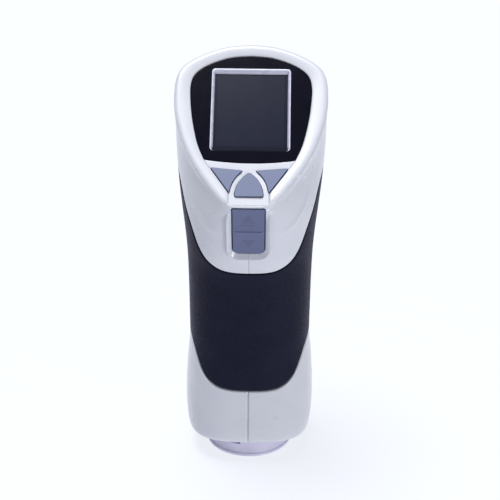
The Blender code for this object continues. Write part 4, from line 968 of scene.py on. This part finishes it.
faceForm = {
    "height": 2.2 * mm, "recess": 0.6 * mm, "rimRound": 2.0 * mm, "rimFall": 0.56 * mm, "rimColumns": 170,
    "rimAnchor": 13, "raiseFrom": 0.022, "raiseOver": 0.045, "panelThickness": 1.3 * mm,
    "joint": 0.08 * mm, "screenWidth": 35.8 * mm, "screenHeight": 41.2 * mm, "screenCorner": 1.6 * mm,
    "screenCentre": 0.584, "screenFoot": 5.1 * mm, "liveFoot": 3.2 * mm, "liveInset": (5.4 * mm, 5.6 * mm),
    "windowBow": 0.019, "bowSteps": 40, "keyBow": 0.020, "keyHollow": 0.016, "keyCorner": 0.55 * mm,
    "keyGap": 0.3 * mm, "keyRise": 0.8 * mm, "keyFoot": 3.0 * mm, "through": 5 * mm,
}
windowShares = (
    (0.570, 0.282), (0.662, 0.381), (0.735, 0.524), (0.766, 0.640), (0.771, 0.722),
    (0.734, 0.786), (0.625, 0.835), (0.451, 0.875), (0.242, 0.903), (0.000, 0.912),
)
fieldShares = ((0.251, 0.020), (0.251, 0.088))
cancelShares = ((0.242, 0.090), (0.479, 0.234), (0.079, 0.218))
saveShares = ((-0.177, 0.069), (0.177, 0.069), (0.000, 0.208))
faceFrame = frameAt(shoulderFront + faceOut * faceForm["height"], across, faceUp)
onFace = onFrame(faceFrame)


def faceShares(shares):
    return [(x * bodyForm["faceHalf"], s * faceLength) for x, s in shares]


def mirrored(right):  # a right hand half outline, foot to top, closed by its mirror image
    return list(right) + [(-x, s) for x, s in reversed(right) if x > 1e-9]


def openingHalf():
    line = [(0.0, fieldShares[0][1])] + list(fieldShares) + smoothPath(windowShares, 6)
    return softened(evenPath(faceShares(line), faceForm["rimColumns"]), 3)


def rim():
    inner = openingHalf()
    outerLine = [(x * bodyForm["halfWidth"], s * faceLength) for x, s in shieldFine]
    anchors = list(range(0, len(inner), faceForm["rimAnchor"])) + [len(inner) - 1]
    places = []
    for index in anchors:
        away = [math.dist(inner[index], point) for point in outerLine]
        nearest = float(away.index(min(away)))
        places.append(max(nearest, places[-1] if places else 0.0))
    places[0], places[-1] = 0.0, float(len(outerLine) - 1)
    columns = []
    for k, point in enumerate(inner):
        upper = min(bisect.bisect_right(anchors, k), len(anchors) - 1)
        t = (k - anchors[upper - 1]) / (anchors[upper] - anchors[upper - 1])
        place = places[upper - 1] + (places[upper] - places[upper - 1]) * t
        columns.append((Vector(between(outerLine, place)), Vector(point)))
    columns += [(Vector((-a.x, a.y)), Vector((-b.x, b.y))) for a, b in columns[-2:0:-1]]
    foot = 0.09 * mm - faceForm["height"]
    rows = []
    for outside, inside in columns:
        width = (inside - outside).length
        towards = (inside - outside) / width
        raised = eased((inside.y / faceLength - faceForm["raiseFrom"]) / faceForm["raiseOver"])
        crest = -(1 - raised) * (faceForm["recess"] - 0.05 * mm)
        radius = min(faceForm["rimRound"], width * 0.8)
        wall = crest - radius * 0.9 if crest - radius > foot else foot + 0.1 * mm
        profile = [(0, foot), (0, wall)]
        for angle in (math.pi / 2 * k / 9 for k in range(1, 10)):
            profile.append((radius * (1 - math.cos(angle)), wall + (crest - wall) * math.sin(angle)))
        fall = crest + faceForm["rimFall"]
        for share in (k / 8 for k in range(1, 9)):
            profile.append((radius + (width - 0.12 * mm - radius) * share, crest - fall * share ** 2.2))
        profile.append((width, crest - fall - 0.14 * mm))
        profile.append((width, -faceForm["recess"] - faceForm["panelThickness"]))
        rows.append([onFace(*(outside + towards * w), level) for w, level in profile])
    return loft("rim", rows, looped=True)


dress(carve(rim(), slotCutter()), "rim", "whiteShell", nodes=["front_bezel"], sharp=50)


def windowFoot():
    x, s = faceShares(windowShares[:1])[0]
    bow, count = faceForm["windowBow"] * faceLength, faceForm["bowSteps"]
    return [(-x + 2 * x * k / count, s - bow * (1 - (2 * k / count - 1) ** 2)) for k in range(1, count)]


def screenOutline(grow):
    width, height = faceForm["screenWidth"] + 2 * grow, faceForm["screenHeight"] + 2 * grow
    return roundedBox(width, height, (faceForm["screenCorner"] + grow,) * 4,
                      (0, faceForm["screenCentre"] * faceLength))


def facePlate(name, outline, edge, steps=5):  # a plate in the face's recess, drawn in by the joint
    foot = -(faceForm["recess"] + faceForm["panelThickness"])
    return plate(name, grownOutline(outline, -faceForm["joint"]), onFace,
                 roundedEdge(edge, foot, -faceForm["recess"], steps))


def faceCutter(outline):
    return prism("hole", outline, onFace, -faceForm["through"], faceForm["through"])


window = facePlate("window", windowFoot() + mirrored(faceShares(smoothPath(windowShares, 6))), 0.3 * mm)
carve(window, faceCutter(screenOutline(0)))
dress(window, "window", "windowBlack", nodes=["window_mask"], sharp=30)

trimForm = {"side": 1.35 * mm, "top": 2.1 * mm, "proud": 0.12 * mm, "sink": 1.5 * mm, "opening": 16 * mm,
            "columns": 260, "taper": 8}


def trim():  # silver frame, open below, with its feet curled inwards
    outline, opening = screenOutline(-0.06 * mm), trimForm["opening"]
    low = min(p[1] for p in outline)
    middle = low + faceForm["screenHeight"] / 2
    start = min(range(len(outline)), key=lambda k: abs(outline[k][1] - low) + abs(outline[k][0] - opening))
    path = [p for p in outline[start:] + outline[:start] if p[1] >= low + 1e-6 or abs(p[0]) >= opening]
    fine = evenPath(path, trimForm["columns"])
    top, sink = trimForm["proud"] - faceForm["recess"], trimForm["sink"]
    section = ((0, -1.9 * mm), (0, top - 0.2 * mm), (0.06, top - 0.05 * mm), (0.16, top),
               (0.42, top - 0.08 * mm), (0.8, top - sink * 0.55), (1.0, top - sink * 0.85), (1.0, -2.1 * mm))
    rows = []
    for k, (x, y) in enumerate(fine):
        along = heading(fine, k)
        inwards = Vector((-along.y, along.x))
        upper = min(max((y - middle - faceForm["screenHeight"] * 0.44) / (1.6 * mm), 0), 1)
        width = trimForm["side"] + (trimForm["top"] - trimForm["side"]) * upper
        end = min(k, len(fine) - 1 - k) / trimForm["taper"]
        width = max(width * math.sqrt(min(end, 1)), 0.25 * mm)
        rows.append([onFace(*(Vector((x, y)) + inwards * width * share), level) for share, level in section])
    return loft("trim", rows)


dress(trim(), "screen_frame", "trimSilver", nodes=["screen_trim"], sharp=50)
border = roundedEdge(0.1 * mm, -faceForm["screenFoot"], -faceForm["height"])
glass = plate("screen", screenOutline(0), onFace, border)
dress(glass, "screen_border", "screenBorder", nodes=["lcd_panel"])
liveWidth, liveHeight = faceForm["liveInset"]
shape = roundedBox(faceForm["screenWidth"] - liveWidth, faceForm["screenHeight"] - liveHeight, (0.5 * mm,) * 4,
                   (0, faceForm["screenCentre"] * faceLength))
border = roundedEdge(0.06 * mm, -faceForm["liveFoot"], 0.05 * mm - faceForm["height"])
live = plate("live", shape, onFace, border)
dress(live, "screen_glass", "screenDark")


def bowedOutline(corners, bows, radius, steps=14):  # rounded corners, sides that swell outwards by the bows
    count = len(corners)
    sides = []
    for k in range(count):
        start, end = Vector(corners[k]), Vector(corners[(k + 1) % count])
        along = end - start
        out = Vector((along.y, -along.x)).normalized()
        trimmed = radius * 1.6 / along.length
        shares = [trimmed + (1 - 2 * trimmed) * j / steps for j in range(steps + 1)]
        sides.append([start + along * t + out * (4 * bows[k] * t * (1 - t)) for t in shares])
    outline = []
    for k in range(count):
        outline += sides[k]
        a, b, c = sides[k][-1], Vector(corners[(k + 1) % count]), sides[(k + 1) % count][0]
        for t in (j / 6 for j in range(1, 6)):
            outline.append(a * (1 - t) ** 2 + b * 2 * t * (1 - t) + c * t ** 2)
    return outline


def keyOutlines():
    bow, hollow = faceForm["keyBow"] * faceLength, faceForm["keyHollow"] * faceLength
    cancel = bowedOutline(faceShares(cancelShares), (0, 0, -hollow), faceForm["keyCorner"])
    enter = [Vector((-p.x, p.y)) for p in reversed(cancel)]
    save = bowedOutline(faceShares(saveShares), (0, bow, bow), faceForm["keyCorner"])
    return {"enter": enter, "cancel": cancel, "save": save}


def keyField():
    right = faceShares(fieldShares + windowShares[:1])
    left = [(-x, s) for x, s in reversed(right)]
    made = facePlate("field", right + windowFoot()[::-1] + left, 0.15 * mm, 3)
    holes = [faceCutter(grownOutline(points, faceForm["keyGap"])) for points in keyOutlines().values()]
    return carve(made, slotCutter(), *holes)


dress(keyField(), "key_field", "whiteShell", nodes=["key_panel"], sharp=30)
keyEdge = roundedEdge(0.09 * mm, -faceForm["keyFoot"], faceForm["keyRise"] - faceForm["recess"], 3)
for name, outline in keyOutlines().items():
    key = plate(name, outline, onFace, keyEdge, lambda share: 0)
    dress(key, name + "_key", "keyBlue", name + "_button", ["key_" + name], sharp=50)
print("face done")


# Rocker

rockerTop = {"width": rockerForm["width"], "length": rockerForm["length"],
             "corners": (rockerForm["corner"], rockerForm["topCorner"]), "edge": 0.45 * mm,
             "thickness": 2.2 * mm, "top": rockerForm["rise"], "rows": 150, "columns": 60}
markForm = {"height": 0.18 * mm, "soft": 0.22 * mm, "half": 3.1 * mm, "proud": 0.06 * mm,
            "arrows": {"up": (5.0 * mm, 10.4 * mm), "down": (-5.3 * mm, -9.8 * mm)}}


def rockerHeight(x, y):
    soft, half = markForm["soft"], markForm["half"]
    reach = rockerForm["length"] / 4
    dish = -0.22 * mm * (1 - min(((abs(y) - reach) / reach) ** 2, 1))
    marks = eased(0.5 - max(abs(x) - half, abs(y - 3.3 * mm) - 0.3 * mm) / soft)
    band = eased(0.5 - max(abs(x) - 6.2 * mm, abs(y + 0.6 * mm) - 0.75 * mm) / soft)
    return dish + marks * markForm["height"] + band * 0.3 * mm


rocker = slab("rocker", rockerTop, onRocker, rockerHeight)
dress(rocker, "rocker", "rockerBlue", "rocker", ["rocker_key"], sharp=50)
for word, (base, apex) in markForm["arrows"].items():  # darker arrow plates laid on the rocker's top
    half = markForm["half"]
    outline = [(-half, base), (half, base), (0, apex)]
    outline = outline if apex > base else outline[::-1]
    level = rockerForm["rise"] + rockerHeight(0, (base + apex) / 2) + markForm["proud"]
    arrow = plate(word, outline, onRocker, roundedEdge(0.1 * mm, level - 0.8 * mm, level, 3))
    dress(arrow, word + "_arrow", "arrowBlue", "rocker")


# Back: battery door and measuring button

def doorHeight(x, y):  # thumb ribs near the upper edge
    ribs = 0
    for k in range(5):
        middle = doorForm["length"] / 2 - 7 * mm - k * 2.4 * mm
        reach = max(abs(x) - (9 - k) * mm, 0)
        away = math.hypot(y - middle, reach)
        ribs += max(1 - (away / (0.95 * mm)) ** 2, 0)
    return ribs * 0.55 * mm


doorMiddle = doorForm["foot"] + doorForm["length"] / 2
doorPlace = onBody(frameAt(Vector((0, 0, doorMiddle)), -across, upright))
door = slab("door", doorForm, doorPlace, doorHeight)
dress(door, "battery_cover", "gripRubber", "door", ["battery_door"], sharp=50)

button = plate("button", buttonOutline(0), onFrame(backFrame()),
               roundedEdge(buttonForm["edge"], -buttonForm["depth"], buttonForm["rise"], 8),
               lambda share: -buttonForm["dish"] * math.sin(share * math.pi / 2) ** 2, rings=16)
dress(button, "trigger_button", "rockerBlue", "trigger", ["measure_button"], sharp=60)


# Flanks: slide switch, flap and socket

def sliderHeight(x, y):
    return 0.22 * mm * math.cos(y / (1.3 * mm) * 2 * math.pi) - 0.24 * mm


def flankFrame(side, x):
    return frameAt(Vector((x, flankForm["y"], flankForm["z"])), Vector((0, side, 0)), upright)


flankX = castOn(Vector((0.08, flankForm["y"], flankForm["z"])), -across).x
slider = slab("slider", sliderForm, onFrame(flankFrame(-1, -flankX)), sliderHeight)
dress(slider, "power_knob", "innerPlastic", "slider", ["power_slider"], sharp=60)


def flapHeight(x, y):  # small pull near the upper edge
    away = math.hypot(y - 3.4 * mm, max(abs(x) - 2.6 * mm, 0))
    return 0.35 * mm * max(1 - (away / (0.8 * mm)) ** 2, 0)


flap = slab("flap", flapForm, onBody(flankFrame(1, 0)), flapHeight)
dress(flap, "socket_flap", "gripRubber", "flap", ["port_flap"], sharp=50)
low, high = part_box("usb_socket")
tongue = block("tongue", (low.x + 0.8 * mm, flankForm["y"] - 3 * mm, flankForm["z"] - 0.35 * mm),
               (high.x - 0.7 * mm, flankForm["y"] + 3 * mm, flankForm["z"] + 0.35 * mm))
dress(tongue, "socket_tongue", "innerPlastic")
print("back and flanks done")


# Nose, white standard and cap

capForm = {"radius": 21.0 * mm, "inner": 18.3 * mm, "rim": 0.5 * mm, "rimHeight": 1.7 * mm,
           "height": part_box("calibration_cap")[1].z, "floor": 1.8 * mm, "edge": 0.5 * mm,
           "notches": ((-10.8 * mm, -4.0 * mm), (8.6 * mm, 10.8 * mm)), "notchDepth": 3.0 * mm}


def arc(centre, radius, start, end, steps=5):  # radius and height round a corner, angles in degrees
    made = []
    for k in range(steps + 1):
        angle = math.radians(start + (end - start) * k / steps)
        made.append((centre[0] + radius * math.cos(angle), centre[1] + radius * math.sin(angle)))
    return made


def cap():
    outer, wide, edge = capForm["radius"], capForm["radius"] + capForm["rim"], capForm["edge"]
    top, inner, shoulder, fine = capForm["height"], capForm["inner"], capForm["rimHeight"], 0.25 * mm
    profile = [(0, fine), (16 * mm, fine), (16.4 * mm, 0)]
    profile += arc((wide - edge, edge), edge, -90, 0)
    profile += arc((wide - fine, shoulder - fine), fine, 0, 90, 3)
    profile += [(outer + 0.12 * mm, shoulder), (outer + 0.02 * mm, shoulder + 0.15 * mm)]
    profile += arc((outer - edge, top - edge), edge, 0, 90)
    profile += arc((inner + edge, top - edge), edge, 90, 180)
    profile += [(inner, capForm["floor"]), (0, capForm["floor"])]
    made = turned("cap", profile, 128)
    for low, high in capForm["notches"]:
        foot, reach = top - capForm["notchDepth"], -outer + 2.2 * mm
        carve(made, block("notch", (low, -40 * mm, foot), (high, reach, 20 * mm)))
    return made


dress(cap(), "cap", "capPlastic", "cap", ["calibration_cap"], sharp=35)
low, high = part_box("white_tile")
tile = turned("tile", [(0, low.z)] + arc((high.x - 0.3 * mm, low.z + 0.3 * mm), 0.3 * mm, -90, 0)
              + arc((high.x - 0.3 * mm, high.z - 0.3 * mm), 0.3 * mm, 0, 90) + [(0, high.z)])
dress(tile, "white_standard", "whiteStandard", "cap", ["white_tile"])


def nose():
    radius, foot, top, wall = (noseForm[word] for word in ("radius", "foot", "top", "wall"))
    flange, wide = top - wall, radius + noseForm["flange"]
    profile = arc((radius - 0.6 * mm, foot + 0.6 * mm), 0.6 * mm, -90, 0)
    profile += [(radius, flange), (wide, flange), (wide, top), (radius - wall, top),
                (radius - wall, foot + wall), (noseForm["flare"], foot + wall)]
    profile += arc((noseForm["aperture"] + 0.3 * mm, foot + 0.3 * mm), 0.3 * mm, 180, 270)
    return carve(turned("nose", profile), *noseScrewCutters(flange - 1 * mm, top + 1 * mm))


dress(nose(), "measuring_nose", "innerPlastic", nodes=["port_ring"], sharp=35)

screws = [f"{kind}_screw_{k}" for kind, count in (("face", 4), ("case", 4), ("port", 3))
          for k in range(1, count + 1)]
carriedFinishes = {
    "circuitBoard": ["display_board", "rocker_board", "main_board", "trigger_board", "sensor_board",
                     "led_ring"],
    "steel": ["rocker_pin", "usb_socket"] + screws,
    "innerPlastic": ["face_frame", "rocker_bracket", "rocker_switch_1", "rocker_switch_2", "battery_holder",
                     "measure_switch", "power_switch", "optics_frame", "sensor_tube"],
    "matRubber": ["keypad_mat"],
    "batteryWrap": ["battery_pack"],
    "sphereCoating": ["sphere_lower", "sphere_upper"],
    "lensGlass": ["sensor_lens"],
}
for finish, nodes in carriedFinishes.items():
    for node in nodes:
        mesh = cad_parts[node].data
        mesh.materials.clear()
        mesh.materials.append(finishes[finish])
print("cap, nose and inner solids done")


# Floor, light and camera

studio = {
    "floorTone": srgb(100, 102, 110), "floorSecond": srgb(97, 99, 108), "glow": 0.84, "floorReach": 6.0,
    "skyTone": (0.85, 0.89, 1.0), "sky": 0.12,
    "key": ((-0.14, 0.06, 1.0), 4.3, 30),  # towards the light, strength, width in degrees
    "lamps": (  # name, place, aim, size, watts, tone
        ("frontRight", (0.62, -0.85, 0.12), (0, 0, 0.06), 0.35, 4.2, (1.0, 0.99, 0.97)),
        ("left", (-0.80, 0.10, 0.30), (0, 0, 0.10), 0.5, 0.15, (0.95, 0.96, 1.0)),
    ),
}
cameraForm = {"azimuth": 1.185, "elevation": 24.938, "distance": 612.2 * mm, "roll": 0.39, "lens": 91.69,
              "sensor": 36.0, "shift": 0.012, "aim": (-0.12 * mm, -2.04 * mm, 101.717 * mm)}


def floor():
    reach = studio["floorReach"]
    made = block("floor", (-reach, -reach, -20 * mm), (reach, reach, -0.02 * mm))
    look = {"sockets": {"Specular IOR Level": 0.2, "Emission Color": (0.93, 0.95, 1.0, 1),
                        "Emission Strength": studio["glow"]}}
    finish, tree, shader, vector = startFinish("floorPaper", look)
    tone = mixTones(tree, noiseAt(tree, vector, 0.4, 2), studio["floorTone"], studio["floorSecond"])
    rough = spread(tree, noiseAt(tree, vector, 0.02, 3), 0.3, 0.7, 0.7, 0.8)
    joined(tree, shader, {"Base Color": tone, "Roughness": rough})
    made.data.materials.append(finish)


def hung(name, data, place, towards, axis):  # a light or the camera, with the axis that it looks along
    holder = bpy.data.objects.new(name, data)
    holder.location = place
    holder.rotation_euler = towards.to_track_quat(axis, "Y").to_euler()
    bpy.context.collection.objects.link(holder)
    return holder


def lights():
    towards, strength, width = studio["key"]
    sun = bpy.data.lights.new("key", "SUN")
    sun.energy = strength
    sun.angle = math.radians(width)
    hung("key", sun, (0, 0, 0), Vector(towards), "Z")
    for name, place, aim, size, watts, tone in studio["lamps"]:
        lamp = bpy.data.lights.new(name, "AREA")
        lamp.shape = "DISK"
        lamp.size = size
        lamp.energy = watts
        lamp.color = tone
        hung(name, lamp, place, Vector(aim) - Vector(place), "-Z")
    world = bpy.data.worlds.new("studio")
    world.use_nodes = True
    sky = world.node_tree.nodes["Background"]
    joined(world.node_tree, sky, {"Color": (*studio["skyTone"], 1), "Strength": studio["sky"]})
    bpy.context.scene.world = world


def camera():
    data = bpy.data.cameras.new("camera")
    data.sensor_width = cameraForm["sensor"]
    data.lens = cameraForm["lens"]
    data.shift_y = cameraForm["shift"]
    data.clip_start = 10 * mm
    azimuth, elevation = (math.radians(cameraForm[word]) for word in ("azimuth", "elevation"))
    back = Vector((math.sin(azimuth) * math.cos(elevation), -math.cos(azimuth) * math.cos(elevation),
                   math.sin(elevation)))
    holder = hung("camera", data, Vector(cameraForm["aim"]) + back * cameraForm["distance"], -back, "-Z")
    holder.rotation_euler.rotate_axis("Z", math.radians(cameraForm["roll"]))
    bpy.context.scene.camera = holder


floor()
lights()
camera()
bpy.context.scene.view_settings.view_transform = "Standard"
bpy.context.view_layer.update()
